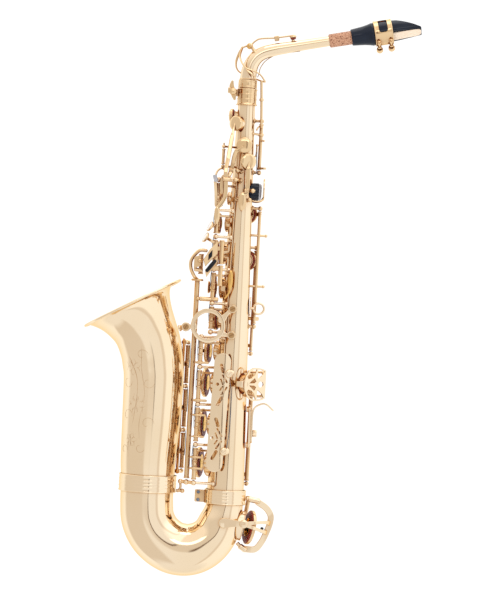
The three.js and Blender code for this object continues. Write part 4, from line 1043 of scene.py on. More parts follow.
# ---- Stack keys ----
def stack_key(name, z, r, turn, rod_at, top, bottom, pad_node):
    h = STACK_HOLES[name]
    body = name + "_key"
    x, y = rod_at
    matrix = None if name == "g_sharp" else turned_about(V(x, y, 0), Z, STACK_OPEN)
    cup_r = r + CUP_EDGE
    build = Build()
    cup(build, h, cup_r)
    low, high = V(x, y, bottom + BALL_R + GAP), V(x, y, top - BALL_R - GAP)
    n = high.z - low.z
    collars(build, low, high, extra=[t for t in (z - low.z - 4, z - low.z + 4) if 3 < t < n - 3])
    # The arm leaves the tube, runs over the cup in a spine and ends in a point over its middle.
    back, root = cup_back(h), V(x, y, z)
    edge = back - tangent(turn) * r
    spine = [root, root.lerp(edge, 0.5) + h.out * 1.2, edge + h.out * 0.3, edge.lerp(back, 0.5) + h.out * 0.1,
        back + h.out * 0.1]
    build.strap(spine, (5, 2.0, 0.9), h.out, count=30, widths=[1.5, 0.95, 0.9, 0.8, 0.45])
    foot_z = top - BALL_R - GAP - 3
    foot = at(RIB_TURN, body_r(foot_z) + 6.5, foot_z)
    build.strap([(x, y, foot_z), foot], (3, 2.6, 0.8), Z, count=8, widths=[1.2, 0.8])
    build.moved(matrix).stand_in(body, body, KEYS)
    if matrix:
        cork = Build().rod(foot - out(RIB_TURN) * 1.2, foot - out(RIB_TURN) * 3.4, 1.5, 20, 0.4)
        cork.moved(matrix).finish(body + "_foot_cork", body, CORK)
    pad_piece(name + "_pad", body, h, cup_r, node=pad_node, matrix=matrix)


def stack_keys():
    for stack, turn, rod, posts in ((UPPER_STACK, UPPER_TURN, UPPER_ROD, UPPER_POSTS),
            (LOWER_STACK, LOWER_TURN, LOWER_ROD, LOWER_POSTS)):
        for i, (name, z, r) in enumerate(stack):
            stack_key(name, z, r, turn, rod, posts[i], posts[i + 1],
                name + "_pad" if stack is LOWER_STACK else None)


# ---- Palm keys ----
PALMS = [
    {"name": "palm_f", "pivot": V(-19.2, -26.4, 148), "head": -7.7, "foot": (-3, -12),
     "path": [V(-15.1, -18, 196), V(-17.6, -21.5, 174.6), V(-19.8, -26, 157), V(-18.6, -26.5, 140),
              V(-19.2, -27, 127.6), V(-22.7, -27.5, 120)],
     "touch": V(-27.2, -28, 106), "size": (3.1, 10.8)},
    {"name": "palm_eb", "pivot": V(-13.5, -17, 159), "head": -6.3, "foot": (-2.5, -12),
     "path": [V(-9, -19.5, 181), V(-11.2, -18, 174), V(-12.9, -17.2, 163), V(-16.4, -19.5, 152.1)],
     "touch": V(-22.3, -22.0, 142), "size": (3.6, 11.5)},
    {"name": "palm_d", "pivot": V(6.2, -20.5, 136.5), "head": 12.6, "foot": (5, -11.4),
     "path": [V(6.2, -21.5, 160), V(6.2, -21.5, 136)],
     "touch": V(1.2, -22, 123.6), "size": (4.6, 10.8)},
]


def palm_keys():
    for key in PALMS:
        name, touch, pivot = key["name"], key["touch"], key["pivot"]
        h = body_hole(*PALM_HOLES[name])
        body = name + "_key"
        r = h.r + 2.4
        build = Build()
        domed_cup(build, h, r)
        back = cup_back(h) - h.out * 0.7
        w, length = key["size"]
        # The lever starts as a point over the cup, widens into a broad band and ends under the touch.
        points = [back, back.lerp(key["path"][0], 0.6), *key["path"], touch + Z * length * 0.7]
        wide = [0.15, 0.8] + [1.2] * (len(points) - 3) + [1.0]
        build.strap(points, (3.9, 1.7, 0.8), Y, count=12 * len(points), widths=wide)
        build.ball(touch, 1, 40, 26, (w * 1.04, 1.45, length))
        a, b = pivot - X * 3, V(key["head"] - 4.8, pivot.y, pivot.z)
        if (b - a).length > 3:
            collars(build, a, b, 2.3)
        else:
            build.rod(a, b, 2.4)
        build.stand_in(body, body, KEYS)
        pad_piece(name + "_pad", body, h, r, resonator=False)


# ---- Side keys ----
def side_keys():
    for name, key in SIDES.items():
        h, r = body_hole(key["phi"], key["z"], key["r"]), key["r"] + CUP_EDGE
        body = name + "_key"
        build = Build()
        cup(build, h, r)
        back = cup_back(h)
        x, y = key["rod"]
        hinge(build, key["rod"], key["tube"], 1.8)
        root = V(x, y, key["arm"])
        build.strap([root, root.lerp(back, 0.5) + h.out * 2.5, back], (4.4, 2, 0.9), h.out, count=20,
            widths=[1.2, 0.9, 0.6])
        touch = V(min(x, 8) - 6, max(y, 26) + 9, key["touch"])
        reach = [(*place, key["touch"]) for place in (key["rod"], *key["reach"])]
        build.strap([*reach, touch], (4.4, 2, 0.9), V(1, 1, 0), count=24)
        build.block(touch, (9, 2.2, 18), soft=0.9)
        build.ball(touch + Y * 0.6, 1, 28, 16, (3.9, 1.2, 8.2))
        build.stand_in(body, body, KEYS)
        pad_piece(name + "_pad", body, h, r, resonator=False)
        if name == "side_c":
            guides = Build()
            for z in (85.5, 26):
                head = V(31, 6.2, z)
                guides.rod(on_body(22.5, 4.5, z), head, 1.4, 20)
                guides.ball(head, 1.9)
            guides.finish("side_key_guides", "body", KEYS)


# ---- Low keys ----
def low_keys():
    h, r = EB_HOLE, EB["r"] + CUP_EDGE
    build = Build()
    cup(build, h, r)
    back = cup_back(h)
    hinge(build, EB["rod"], EB["tube"])
    build.strap([(*EB["rod"], -86), back - tangent(EB["phi"]) * EB["r"], back], (5, 2, 0.9), h.out, count=20,
        widths=[1.3, 0.9, 0.6])
    build.block(V(6, 36, -196), (13, 2.4, 11), soft=1.0)
    build.strap([(*EB["rod"], -196), (17, 33, -196), (8, 36, -196)], (5, 2, 0.9), Y, count=16)
    build.stand_in("low_eb_key", "low_eb_key", KEYS)
    pad_piece("low_eb_pad", "low_eb_key", h, r, resonator=False)

    h, r = LOW_C_HOLE, LOW_C["r"] + CUP_EDGE
    pivot = h.axis + LOW_C_OUT * 27
    pivot.y = 28
    matrix = turned_about(pivot, LOW_C_UP, LOW_C["open"])
    low, high = pivot - LOW_C_UP * 14, pivot + LOW_C_UP * 34
    back = cup_back(h)
    build = Build()
    cup(build, h, r)
    collars(build, low, high)
    side = V(back.x, 18, back.z) + LOW_C_OUT
    build.strap([pivot - LOW_C_UP * 2, side, (back.x, 4, back.z)], (7, 2.2, 1.0), LOW_C_OUT, count=24,
        widths=[1.1, 1, 0.7])
    touch = high + V(-18, 9, -3)
    build.block(touch, (13, 2.4, 11), soft=1.0)
    build.strap([high - LOW_C_UP * 3, high + V(-8, 8, -3), touch], (5, 2, 0.9), Y, count=16)
    build.moved(matrix).stand_in("low_c_key", "low_c_key", KEYS)
    pad_piece("low_c_pad", "low_c_key", h, r, node="low_c_pad", matrix=matrix)

    for key in BELL_KEYS:
        name, x, z = key["name"], key["x"], key["z"]
        h, r = bell_hole(key), key["r"] + CUP_EDGE
        matrix = None if name == "low_c_sharp_key" else turned_about(V(*BELL_ROD, 0), Z, -BELL_OPEN)
        y = cup_back(h).y
        build = Build()
        cup(build, h, r)
        hinge(build, BELL_ROD, key["tube"])
        build.strap([(*BELL_ROD, z), (BELL_ROD[0] - 8, y + 0.5, z), (x + 4, y, z)], (6, 2.2, 1.0), Y,
            count=30, widths=[1.3, 1.0, 0.6])
        build.moved(matrix).stand_in(name, name, KEYS)
        pad_piece(name.replace("_key", "_pad"), name, h, r, matrix=matrix)
        bumper = V(x + 1, y + 0.9, z)
        felt_disc = Build().rod(bumper - Y * 0.9, bumper + Y * 2.4, 3.6, 28, 1.0)
        felt_disc.moved(matrix).finish(name + "_felt", name, FELT)


# ---- Table of the left little finger ----
TABLE_ROD = (-19.5, -33)


def table():
    lean = turned_about(V(-24, -36, 0), Z, 7)
    levers = [
        ("g_sharp_lever", [(-24.4, 74.8), (-23.8, 61.5), (-37.2, 45.5), (-39.9, 53.4), (-33.1, 65.5)],
         (49, 77), (67, -26)),
        ("low_b_lever", [(-23.6, 58.6), (-23.2, 51.5), (-35.6, 33.2), (-37.4, 41.8)], (24, 47.8), (44.5, -28)),
    ]
    for name, outline, tube, (z, x) in levers:
        build = Build().plate(outline, [], V(0, -34.4, 0), X, Z, 2.6, 0.5).moved(lean)
        hinge(build, TABLE_ROD, tube)
        build.strap([(*TABLE_ROD, z), (x, -35.4, z)], (5, 2, 0.8), Y, count=8)
        build.stand_in(name, name, KEYS)

    build = Build()
    hinge(build, (-42.5, -24), (36.5, 60))
    build.plate([(-50.5, 56), (-42.5, 59), (-42.5, 46), (-50.5, 43)], [], V(0, -32.6, 0), X, Z, 2.4, 0.5)
    build.strap([(-42.5, -24, 52), (-44, -34, 52)], (5, 3, 1.0), X, count=8)
    build.stand_in("low_c_sharp_lever", "low_c_sharp_lever", KEYS)

    build = Build().wire([(-36.5, -28.5, 64), (-45.5, -28.5, 63.5), (-53.6, -28.5, 53), (-54, -28.5, 43),
        (-49.5, -24, 33.5), (-46, -14, 30)], 2.0, sides=20)
    build.turned([(6.3, 0), (7.0, 0.6), (7.0, 2), (6.3, 2.5)], V(*LONG_ROD, 28.5), Z, 40)
    hinge(build, LONG_ROD, (-201.5, 30), 2.9)
    build.stand_in("low_bb_lever", "low_bb_lever", KEYS)

    a, b, r = V(-25.6, -37.4, 53.8), V(-36.3, -37.4, 39.6), 2.3
    n = (b - a).length
    profile = [(0, 0), (r * 0.55, 0.2), (r * 0.85, 0.9), (r, n * 0.3), (r * 1.05, n / 2), (r, n * 0.7),
        (r * 0.85, n - 0.9), (r * 0.55, n - 0.2), (0, n)]
    Build().lathe(profile, a, b - a, 36).moved(lean).finish("roller_long", "low_b_lever", ROLLER)
    inset = Build().plate([(-34.3, 59.5), (-30.2, 65.0), (-30.2, 57.6), (-34.4, 52.9)], [], V(0, -36.6, 0), X,
        Z, 1.3, 0.5)
    inset.moved(lean).finish("roller_upper", "g_sharp_lever", ROLLER)
    arm = Build().rod(V(-50, -31, 41.6), V(-40, -29, 41.0), 2.1, 28, 0.9)
    arm.wire([(-42.5, -24, 50), (-47, -31, 47), (-49, -31, 42)], 1.5, sides=20)
    arm.finish("low_c_sharp_arm", "low_c_sharp_lever", KEYS)


# ---- Octave mechanism ----
def octave_mechanism():
    plate = Build().plate(circle(-2, 139.5, 12.5, 64), [circle(3, 134, 7, 40)], V(24.8, 0, 0), Y, Z, 1.8, 0.5)
    for side in (-1, 1):
        y = 15.4 * side
        plate.strap([(25.5, side * 6 - 2, 129.6), (23.0, side * 12, 126.2), (17, y, 124.6),
            (LEVER["x"], y, LEVER["z"])], (2.2, 1.4, 0.6), Z, count=24)
        plate.rod(V(LEVER["x"], side * 14.4, LEVER["z"]), V(LEVER["x"], side * 15.8, LEVER["z"]), 2.6, 28)
    plate.stand_in("octave_lever", "octave_lever", KEYS)
    x = OCTAVE_ROD["x"]
    rod = Build()
    collars(rod, V(x, 0, OCTAVE_ROD["bottom"]), V(x, 0, OCTAVE_ROD["top"]), 2.1, extra=(40,))
    rod.strap([(x, 0, 212), (x, -6.2, 212)], (3, 2.6, 0.8), Z, count=6)
    rod.wire([(18.5, -5.6, 211), (17.7, -5.2, 232), (16.6, -4.7, 254), (15.9, -4.4, 265.5)], 1.5, sides=16)
    rod.turned([(2.1, 0), (2.5, 0.5), (2.5, 2.6), (2.1, 3.1)], V(17.2, -5, 242.4), V(-1.1, 0.4, 22), 28)
    rod.strap([(x, 0, 164), (24.5, -4, 164)], (5, 2.4, 0.8), Z, count=8)
    rod.stand_in("octave_rod", "octave_rod", KEYS)


# ---- Pearls, bars, springs and small linkage ----
def pearl_touch(name, body, centre, direction, r=6.6, stem=None):
    """A finger touch: a pearl in a brass cup, on a short stem from its key."""
    d = direction.normalized()
    holder = Build().turned([(r * 0.5, -2.4), (r * 0.85, -1.6), (r, -0.2), (r, 0.7), (r - 0.5, 1.0),
        (r - 0.8, 0.7), (r - 0.8, 0)], centre, d, 48)
    if stem:
        holder.strap([stem, stem.lerp(centre - d * 2, 0.5) - d, centre - d * 2], (3.4, 1.8, 0.7), d, count=14,
            widths=[1.2, 0.9, 1.1])
    holder.finish(name, body, KEYS)
    shell = [(0, 0.2), (r - 0.85, 0.2), (r - 0.85, 0.8), (r * 0.6, 1.25), (0, 1.45)]
    shell = Build().lathe(shell, centre, d, 48)
    shell.finish(name + "_pearl", body, PEARL)


def pearls():
    pearl_touch("b_touch", "bis_key", V(-34.5, -25.5, 92.5), V(-0.85, -0.25, 0.45), 6.2, V(-28.5, -18, 97))
    pearl_touch("a_touch", "a_key", V(-39.0, -25.5, 79.5), V(-0.85, -0.25, 0.45), 6.2, V(-28.5, -18, 74))
    for name, _, _ in [*UPPER_STACK[3:4], *LOWER_STACK[1:]]:
        h = STACK_HOLES[name]
        rod_at = UPPER_ROD if name == "g" else LOWER_ROD
        matrix = turned_about(V(*rod_at, 0), Z, STACK_OPEN)
        centre = matrix @ (cup_back(h) + h.out * 3.2)
        direction = (matrix.to_3x3() @ h.out).normalized()
        pearl_touch(name + "_touch", name + "_key", centre, direction, 7.2)


def stack_bars():
    """Short bars across the lower stack's tubes: key feet and adjusting arms."""
    bars = [("f_sharp_key", -66, 2.6), ("f_key", -110, 3.0), ("e_key", -127, 2.4), ("e_key", -152, 1.6),
            ("d_key", -176, 2.4), ("d_key", -189, 2.4)]
    for i, (body, z, width) in enumerate(bars):
        x, y = LOWER_ROD
        build = Build().strap([(x - 4.5, y - 1.5, z), (x, y - 2.4, z), (x + 9, y - 3, z)], (width, 2.2, 0.8),
            Y, count=12)
        build.rod(V(x, y, z - width / 2 - 0.6), V(x, y, z + width / 2 + 0.6), TUBE_R + 0.7, 28, 0.4)
        build.screw(V(x - 3.4, y - 3.0, z), -Y, 1.0, 0.4)
        build.finish(f"stack_bar_{i + 1}", body, KEYS)
    brace_bar = Build().rod(V(-42.5, -18.5, 8), V(-20.5, -16, 8), 2.6, 32, 0.9)
    brace_bar.ball(V(-44, -18.5, 8), 2.4)
    brace_bar.finish("stack_cross_bar", "body", KEYS)
    leaf_touch = Build().ball(V(-7.6, -21.4, 31.5), 1, 36, 22, (2.9, 1.3, 11.5))
    leaf_touch.wire([(-7.6, -20, 22), (-9, -17.5, 16), (-13, -16.5, 10)], 1.3, sides=16)
    leaf_touch.finish("trill_touch", "body", GOLD)


def needles():
    """Blued needle springs, from a post to the key that they press on."""
    build = Build()
    taper = [1.2, 1, 0.5]
    rows = [
        (LOWER_ROD, LOWER_POSTS[:-1], 0.42, taper, [(-2.6, -1.5, -1), (-3.4, -2.4, -14), (-3.0, -2.0, -27)]),
        (UPPER_ROD, UPPER_POSTS[:-1], 0.4, taper, [(-2.4, -1.2, -1), (-3.2, -2.2, -11), (-2.7, -1.8, -21)]),
        ((0, 0), [0], 0.5, None, [(15.0, -4, 190), (15.2, -4.6, 175), (16.4, -4, 158)]),
        ((0, 0), [0], 0.42, None, [(-3.4, -33.5, -76), (0.6, -29, -100), (1.0, -27, -140), (-1.5, -29, -165)]),
        (BELL_ROD, BELL_POSTS[:-1], 0.42, None, [(2.2, -2, -1), (3, -2.6, -15), (2.6, -2.2, -30)]),
    ]
    for (x, y), posts, r, widths, path in rows:
        for z in posts:
            build.wire([(x + dx, y + dy, z + dz) for dx, dy, dz in path], r, sides=8, widths=widths)
    build.finish("needle_springs", "body", STEEL)


def front_f():
    """The front F link: a short vertical hinge on two posts, an arc and a grey touch on the stack's left."""
    build = Build()
    low, high = V(-23.7, -14, 166), V(-23.7, -14, 184)
    collars(build, low, high, 1.7)
    for z in (163.6, 186.6):
        build.wire([on_body(-8, -6, z), (-18, -11.5, z), (-23.7, -14, z)], 1.2, sides=16)
        build.ball(V(-23.7, -14, z), 2.2)
    build.rod(V(-23.7, -14, 188), V(-23.7, -14, 191), 1.0, 20)
    build.finish("front_f_hinge", "body", KEYS)
    arc = Build().wire([(-21.2, -15.5, 160.2), (-25.5, -17, 160.8), (-29.6, -19, 157.2), (-31.4, -21, 151.5)],
        1.15, sides=16)
    arc.strap([(-31.4, -21.5, 145), (-30.2, -20.5, 136), (-29.5, -19, 127), (-29, -18, 118.5)], (3.6, 1.8), Y,
        count=24)
    arc.finish("front_f_link", "body", KEYS)
    touch = Build().block(V(-31.3, -22, 148.6), (4.6, 3.2, 8.4), Quaternion((0, 1, 0), -0.3), 1.2)
    touch.finish("front_f_touch", "body", PALE_GREY_AND_HIGHLIGHT)


def octave_details():
    x = OCTAVE_ROD["x"]
    build = Build().wire([on_body(8, -6, 204), (13, -3.5, 203.6), (x, 0, 203.2)], 1.3, sides=16)
    build.lathe([(2.2, -2), (3.0, -1.4), (3.2, 0), (3.0, 1.4), (2.2, 2)], V(x, 0, 203.2), Z, 32, loop=True)
    build.wire([on_body(9, -5, 177), (14.2, -4, 178.5), (14.8, -4, 190)], 1.0, sides=14)
    build.ball(V(15, -4, 190.6), 1.6)
    build.finish("octave_guides", "body", KEYS)
    arms = Build().wire([(x, -2, 214.5), (15.5, -5.5, 212), (13.2, -7, 208)], 1.0, sides=14)
    arms.wire([(x, -2, 196.5), (22.2, -3.5, 196.2)], 0.9, sides=14)
    arms.ball(V(22.4, -3.6, 196.2), 1.3)
    arms.finish("octave_arms", "octave_rod", KEYS)
    z = OCTAVE_ROD["top"] + POST_GAP
    Build().rod(V(x, -2.3, z), V(x, -3.2, z), 1.3).finish("octave_pivot", "body", ROLLER)


def bell_foot():
    """The foot of the low B and B flat rods, below the bell's lowest post."""
    build = Build().wire([(-53.3, -9, -206), (-52.6, -8, -213), (-56, -6, -218.5)], 1.4, sides=18)
    build.ball(V(-50.2, -7.5, -217), 2.6)
    build.rod(V(-57.6, -7, -217), V(-50, -7.5, -217), 1.7)
    build.finish("bell_foot", "body", KEYS)


# ---- Engraving: fine scrolls and leaves cut into the bell's lacquer ----
def on_bell(turn, z):
    """A point on the bell, `turn` degrees round from the side that faces the player's left."""
    x, _, r, tilt = min(BELL_PATH, key=lambda q: abs(q[1] - z))
    t, a = radians(tilt), radians(turn - 90)
    return V(x, 0, z) + V(cos(t), 0, -sin(t)) * r * cos(a) + Y * r * sin(a)


def stroke(build, points, weight=0.16):
    widths = [0.3] + [1.0] * (len(points) - 2) + [0.3]
    build.wire([on_bell(turn, z) for turn, z in points], weight, count=10 * len(points), sides=6, widths=widths)


def engraving():
    """Flowers with pointed petals, scrolls and two long stems, placed by degrees round and height."""
    build = Build()
    for turn, z, size, count, start in [(-38, -74, 11, 6, 20), (-30, -118, 13, 7, 0), (-40, -160, 9, 6, 10)]:
        for k in range(count):
            a = radians(start + 360 * k / count)
            tip = (turn + size * cos(a) * 1.7, z + size * sin(a))
            for b in (a - 0.5, a + 0.5):
                bend = (turn + size * 0.6 * cos(b) * 1.7, z + size * 0.6 * sin(b))
                stroke(build, [(turn, z), bend, tip], 0.14)
    for turn, z, size, side in [(-16, -60, 8, 1), (-56, -92, 9, -1), (-8, -92, 8, -1), (-52, -132, 9, 1),
            (-6, -140, 9, 1), (-18, -168, 7, -1), (-58, -172, 7, 1)]:
        spiral = [(side * k * 0.62, size * (1 - k / 11)) for k in range(9)]
        stroke(build, [(turn + r * cos(a) * 1.6, z + r * sin(a)) for a, r in spiral])
    stroke(build, [(-60, -50), (-44, -62), (-30, -92), (-34, -130), (-46, -166), (-40, -190)])
    stroke(build, [(-12, -48), (-20, -76), (-14, -108), (-22, -142), (-12, -182)])
    build.finish("bell_engraving", "body", ENGRAVED)


BELL_PATH = [tuple(q) for q in curve(BELL, 240)]


# ---- Neck ----
NECK = [(0, 267, 9.5), (0.4, 273, 9.3), (1.3, 279, 9), (4, 287, 8.5), (9.5, 294.6, 8.1), (18, 300, 7.6),
    (29.5, 303.8, 7.1), (41, 306.4, 6.7), (58.5, 310.1, 6.2), (75.8, 313.8, 5.9), (131, 325.5, 5.6)]
NECK_END = V(131, 0, 325.5)
NECK_RISE = 12
PIVOT = V(1.2, 0, 306.8)
AIM = V(cos(radians(NECK_RISE)), 0, sin(radians(NECK_RISE)))


def neck():
    tube = swept_tube([(0, 257, 9.05, 0), *along(NECK, 110)], WALL, 80)
    tube.stand_in("neck_tube", "neck", BRASS)
    collar = Build().lathe([(7.9, 0), (9.05, 0), (9.05, 18), (9.05, 18.1), (10.8, 18.1), (11.1, 18.6),
        (11.1, 20), (10.7, 20.5), (11.0, 21), (11.0, 24.6), (10.6, 25.2), (10.95, 25.8), (10.9, 26.8),
        (10.5, 27.5), (9.7, 27.5), (7.9, 27.5)], V(0, 0, 238.8), Z, 88, loop=True)
    collar.lathe([(9.2, 0), (9.9, 0.3), (10.1, 1), (9.7, 1.8), (9.2, 2)], V(0, 0, 266.2), Z, 80, loop=True)
    for y in (-5, 5):
        head = PIVOT.copy()
        head.y = y
        collar.wire([(7.5, y * 0.9, 298), (4, y, 303), head], 1.6, sides=18, widths=[1.6, 1, 1])
        collar.ball(V(PIVOT.x, y * 1.16, PIVOT.z), 2.6)
    collar.turned([(2.6, 0), (2, 1.2), (2, 4.8), (1.6, 5.4)], V(51.2, 0, 311.2), V(-0.2, 0, 1), 28)
    collar.finish("neck_fittings", "neck", KEYS)
    stay = Build().strap([(11.4, 0, 271.5), (12.9, 0, 276), (13.6, 0, 281), (18.8, 0, 289.4), (29.3, 0, 297),
        (40.1, 0, 300.2), (58, 0, 303.6)], (2.6, 0.9, 0.4), V(1, 0, -1).normalized(), count=90)
    # Painted shade: the stay takes the darker copy of the brass.
    stay.finish("neck_stay", "neck", SHADED_BRASS)

    length = 38
    start = NECK_END - AIM * (length + 1.5)
    profile = [(6.2, 0), (6.5, 0), (7.5, 0.5), (7.9, 1.4), (7.95, length * 0.5), (7.9, length - 2),
        (7.4, length - 0.7), (6.6, length), (6.2, length)]
    Build().lathe(profile, start, AIM, 64, loop=True).stand_in("neck_cork", "neck", CORK)


def neck_octave_key():
    build = Build().rod(V(PIVOT.x, -2.8, PIVOT.z), V(PIVOT.x, 2.8, PIVOT.z), 2.3, 32)
    build.strap([PIVOT, (5.5, 0, 312), (12, 0, 315.6), (28, 0, 317.4), (40, 0, 319.6), (50, 0, 321.4)],
        (3.2, 1.8), Z, count=60, widths=[1.2, 1, 0.9, 1.1, 0.9, 1])
    tilt = V(-0.2, 0, 1)
    build.lathe([(0, 1.9), (3.2, 1.9), (3.9, 2.2), (3.9, 3.7), (3.3, 4.4), (0, 4.7)], V(50.5, 0, 317), tilt, 36)
    build.block(V(31, 0, 317), (5.6, 6, 6), Quaternion((0, 1, 0), -0.2), 0.9)
    near = [(-10.9, -5, 294), (-7.6, -11, 284.6), (-1.8, -13.6, 278.8), (7, -13.6, 276.2), (14.2, -10, 272.6),
            (19.0, -4, 267.2)]
    far = [(-12.4, 5, 297), (-15.2, 11.5, 287), (-12.5, 15, 278.4), (-2, 15.6, 272.6), (9, 13.6, 269.4),
           (16.4, 7.5, 266.6)]
    for branch in (near, far):
        build.strap([(-8.7, 0, 304.2), *branch, (19.9, 0, 265.8)], (3.0, 1.7, 0.8), V(0.6, 0, 0.8), count=70,
            widths=[0.9, 1, 1, 1.1, 1.1, 1, 0.9, 0.8])
    build.strap([(-1.8, -13.4, 277.5), (3, -13.6, 273.5), (7.5, -13.2, 270.2)], (2.6, 1.5), V(0, -1, 0.2),
        count=20, widths=[0.9, 1, 0.5])
    build.strap([PIVOT, (-3.5, 0, 306.2), (-8.7, 0, 304)], (3.2, 1.8), V(-0.3, 0, 1).normalized(), count=20)
    x, z = PIVOT.x - 1.5, PIVOT.z - 0.6
    barrel = Build().rod(V(x, -4.2, z), V(x, 4.2, z), 3.3, 36, 0.6)
    barrel.finish("neck_key_barrel", "neck_octave_key", GOLD)
    build.stand_in("neck_octave_key", "neck_octave_key", KEYS)
    pad = Build().turned([(2.6, 0), (3.3, 0.6), (3.3, 1.8)], V(50.5, 0, 317), tilt, 32)
    pad.finish("neck_octave_pad", "neck_octave_key", LEATHER)


# ---- Mouthpiece, reed and ligature, along +X of the mouthpiece's own frame ----
MOUTH = {"length": 82, "roll": -31, "start": -13.2, "table": -6.6}
MOUTH_FRAME = (Matrix.Translation(NECK_END) @ Matrix.Rotation(radians(-NECK_RISE), 4, "Y")
               @ Matrix.Rotation(radians(MOUTH["roll"]), 4, "X"))
SCREWS = [17.5, 31.5]


def mouthpiece():
    s = MOUTH["start"]
    end = s + MOUTH["length"]
    outside = [(9.0, 0), (9.5, 0.3), (9.7, 1.2), (9.9, 3), (10.5, 9), (11.2, 15), (12.3, 20.5), (13.0, 23),
        (13.4, 24.4), (13.4, 25.6), (13.0, 26.6), (12.9, 27.4), (12.9, 48), (12.6, 54), (11.7, 62),
        (10.6, 72), (9.5, 81), (9.0, 82)]
    bore = [(4.5, 82), (4.5, 27), (8.25, 26.9), (8.25, 0.6), (8.6, 0)]
    build = Build().lathe(outside + bore, V(s, 0, 0), X, 88, loop=True)
    build.moved(MOUTH_FRAME)
    piece = build.stand_in("mouthpiece", "mouthpiece", EBONITE, sharp=40)
    slope = Build().block(V(0, 0, 15), (70, 40, 30), soft=0.01)
    slope.moved(Matrix.Translation((end, 0, MOUTH["table"] + 1.3)) @ Matrix.Rotation(radians(25.5), 4, "Y"))
    tools = slope.block(V(s + 27.5 + 35, 0, MOUTH["table"] - 10), (70, 40, 20), soft=0.01)
    pierced(piece, tools.moved(MOUTH_FRAME))

    top = MOUTH["table"] - GAP
    # The reed's sections from its butt to its tip: x, thickness and half its width.
    reed = [(s + 29, 2.6, 5.6), (s + 29.4, 2.9, 6.1), (s + 33, 2.95, 6.4), (s + 48, 2.95, 6.5),
            (s + 50.5, 2.8, 6.5), (s + 56, 2.3, 6.5), (s + 66, 1.3, 6.5), (end - 7, 0.85, 6.4),
            (end - 3, 0.55, 5.6), (end - 1.4, 0.45, 4.4), (end - 0.6, 0.35, 3.0)]
    angles = [pi * k / 12 for k in range(1, 12)]
    rings = []
    for x, thick, half in reed:
        back = [(half * cos(a), -thick * (0.45 + 0.55 * sin(a))) for a in angles]
        section = [(half, 0), (half, -thick * 0.45), *back, (-half, -thick * 0.45), (-half, 0)]
        rings.append([V(x, v, top + w) for v, w in section])
    Build().skin(rings).moved(MOUTH_FRAME).stand_in("reed", "mouthpiece", CANE, sharp=40)


def ligature():
    r_in, r_out, bead = 13.75, 14.65, 0.25
    x0, x1 = SCREWS[0] - 3.5, SCREWS[1] + 3.5
    half = [(r_in, 0), (r_out - 0.1, 0), (r_out + bead, 0.5), (r_out + bead, 1.1), (r_out - 0.15, 1.7)]
    profile = [(r, x0 + dx) for r, dx in half] + [(r, x1 - dx) for r, dx in reversed(half)]
    band = Build().lathe(profile, V(0, 0, 0), X, 96, loop=True).moved(MOUTH_FRAME)
    piece = band.stand_in("ligature", "mouthpiece", KEYS)
    windows, lugs = Build(), Build()
    for side in (-1, 1):
        windows.block(V(24.5, 14 * side, 1.5), (10.6, 16, 19), soft=2.6)
    pierced(piece, windows.moved(MOUTH_FRAME))
    for x in SCREWS:
        for y in (-4, 4):
            lugs.block(V(x, y, -16.2), (4.4, 2.4, 5.4), soft=0.7)
    lugs.moved(MOUTH_FRAME).finish("ligature_lugs", "mouthpiece", KEYS)
    for i, x in enumerate(SCREWS):
        screw = Build().rod(V(x, -7, -16.8), V(x, 13, -16.8), 1.15, 20)
        knurl = [(1 - 0.05 * (k % 2), a) for k, a in enumerate(turns(40))]
        profile = [(0, 3.0), (0.5, 3.5), (1.2, 3.75), (4.3, 3.75), (5, 3.4), (5.5, 2.9)]
        screw.skin([[V(x + r * q * cos(a), 7 + h, -16.8 + r * q * sin(a)) for q, a in knurl] for h, r in profile])
        name = f"ligature_screw_{i + 1}"
        screw.moved(MOUTH_FRAME).stand_in(name, name, KEYS)


# ---- Floor, light and camera ----
FLOOR_R, FLOOR_Z = 1200, -520
# Millimetres, millimetres, degrees; and metres in the row frame.
LENS, SENSOR, ROLL = 153.8, 36, 3.157
CAMERA_AT = (-0.0107, -3.0, 0.0097)


def emitter(name, place, size, power, colour=(1, 1, 1), mirrored=True):
    """A rectangular light that faces the row frame's origin."""
    lamp = bpy.data.lights.new(name, "AREA")
    lamp.shape, lamp.size, lamp.size_y = "RECTANGLE", *size
    lamp.energy, lamp.color = power, colour
    made = placed(name, lamp)
    made.location = place
    made.visible_glossy = mirrored
    made.rotation_euler = (-Vector(place)).to_track_quat("-Z", "Y").to_euler()


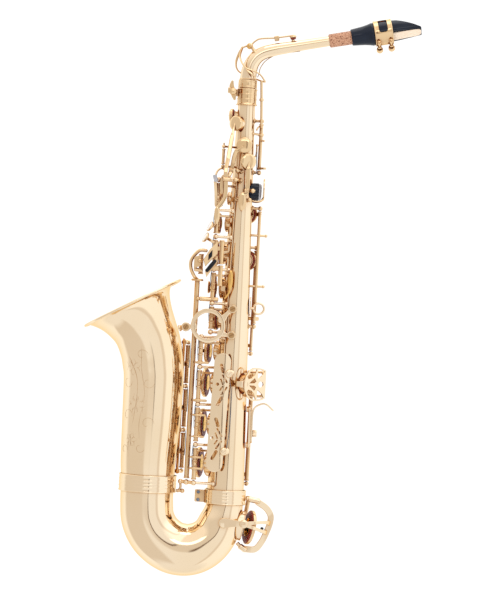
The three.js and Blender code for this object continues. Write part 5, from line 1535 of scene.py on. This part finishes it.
def world_light(scene):
    """White to the camera. The brass sees a warm flat behind it, a thin dark gap and light all round."""
    world = bpy.data.worlds.new("studio")
    world.use_nodes = True
    scene.world = world
    split = node(world, "ShaderNodeSeparateXYZ")
    link(world, node(world, "ShaderNodeTexCoord").outputs["Generated"], split.inputs["Vector"])
    up = split.outputs["Z"]
    share = node(world, "ShaderNodeMapRange", **{"From Min": -pi, "From Max": pi})
    link(world, computed(world, "ARCTAN2", split.outputs["Y"], split.outputs["X"]), share.inputs["Value"])
    cream, sand, bright, dark = (0.98, 0.96, 0.93), (0.80, 0.735, 0.66), (1.12, 1.11, 1.08), (0.2, 0.13, 0.09)
    dusk, black, white = (0.84, 0.77, 0.70), (0, 0, 0), (1, 1, 1)

    def round_the_room(*start):
        """Colours at each share of a turn. Only the sand-coloured flat at the start differs."""
        return ramp(world, share.outputs["Result"], (0.0, sand), *start, (0.36, cream), (0.37, dusk),
            (0.385, dusk), (0.40, bright), (0.95, bright), (0.985, sand))

    flat = round_the_room((0.27, sand), (0.276, cream))
    lined = round_the_room((0.266, sand), (0.269, dark), (0.275, dark), (0.278, cream))
    below = round_the_room((0.195, sand), (0.215, cream))
    eye_level = ramp(world, computed(world, "ABSOLUTE", up), (0.30, white), (0.42, black))
    look = mixed(world, eye_level, flat, lined)
    # Below eye level the flat stands only to the left, and underneath all is cream.
    down = computed(world, "MULTIPLY", up, -1)
    look = mixed(world, ramp(world, down, (0.04, black), (0.16, white)), look, below)
    look = mixed(world, ramp(world, down, (0.84, black), (0.94, white)), look, (*cream, 1))
    look = mixed(world, 1.0, look, ramp(world, up, (0.35, white), (0.6, (1.35, 1.35, 1.35))), "MULTIPLY")
    look = mixed(world, node(world, "ShaderNodeLightPath").outputs["Is Camera Ray"], look, (1.1, 1.1, 1.1, 1))
    link(world, look, world.node_tree.nodes["Background"].inputs["Color"])


def studio():
    scene = bpy.context.scene
    world_light(scene)
    white, shader = material("studio_white", (0.94, 0.94, 0.94), 0.9)
    tinted(white, shader, noise(white, 3), (0.3, (0.93, 0.93, 0.93)), (0.7, (0.95, 0.95, 0.95)))
    disc = Build().turned([(FLOOR_R, 0), (FLOOR_R, -4)], V(RING_X, 0, FLOOR_Z), Z, 96)
    floor = placed("floor", disc.mesh("floor", outwards=False))
    floor.data.materials.append(white)
    floor.visible_glossy = False

    emitter("key_left", (-1.6, -1.9, 0.9), (0.5, 2.2), 5, (1, 0.98, 0.95), False)
    emitter("key_right", (1.8, -1.6, 0.6), (0.4, 2.2), 3.1, (1, 0.98, 0.96), False)
    emitter("front", (0.1, -2.6, 1.3), (1.6, 0.6), 3)
    emitter("top", (0, -0.1, 1.9), (1.0, 1.0), 3)

    camera = placed("camera", bpy.data.cameras.new("camera"))
    camera.data.lens, camera.data.sensor_width = LENS, SENSOR
    tilt = radians(ROLL)
    basis = Matrix(((cos(tilt), -sin(tilt), 0), (0, 0, -1), (sin(tilt), cos(tilt), 0)))
    camera.matrix_world = Matrix.Translation(CAMERA_AT) @ basis.to_4x4()
    camera.data.clip_end = 50
    scene.camera = camera
    scene.view_settings.view_transform = "Standard"


for make in (studio, body_tube, bow_and_bell, rings, receiver, brace, side_guard, eb_guard, low_c_guard,
        bell_guard, thumb_pieces, ribs, stack_keys, palm_keys, side_keys, low_keys, table, octave_mechanism,
        octave_details, pearls, stack_bars, needles, front_f, bell_foot, engraving, neck, neck_octave_key,
        mouthpiece, ligature):
    make()
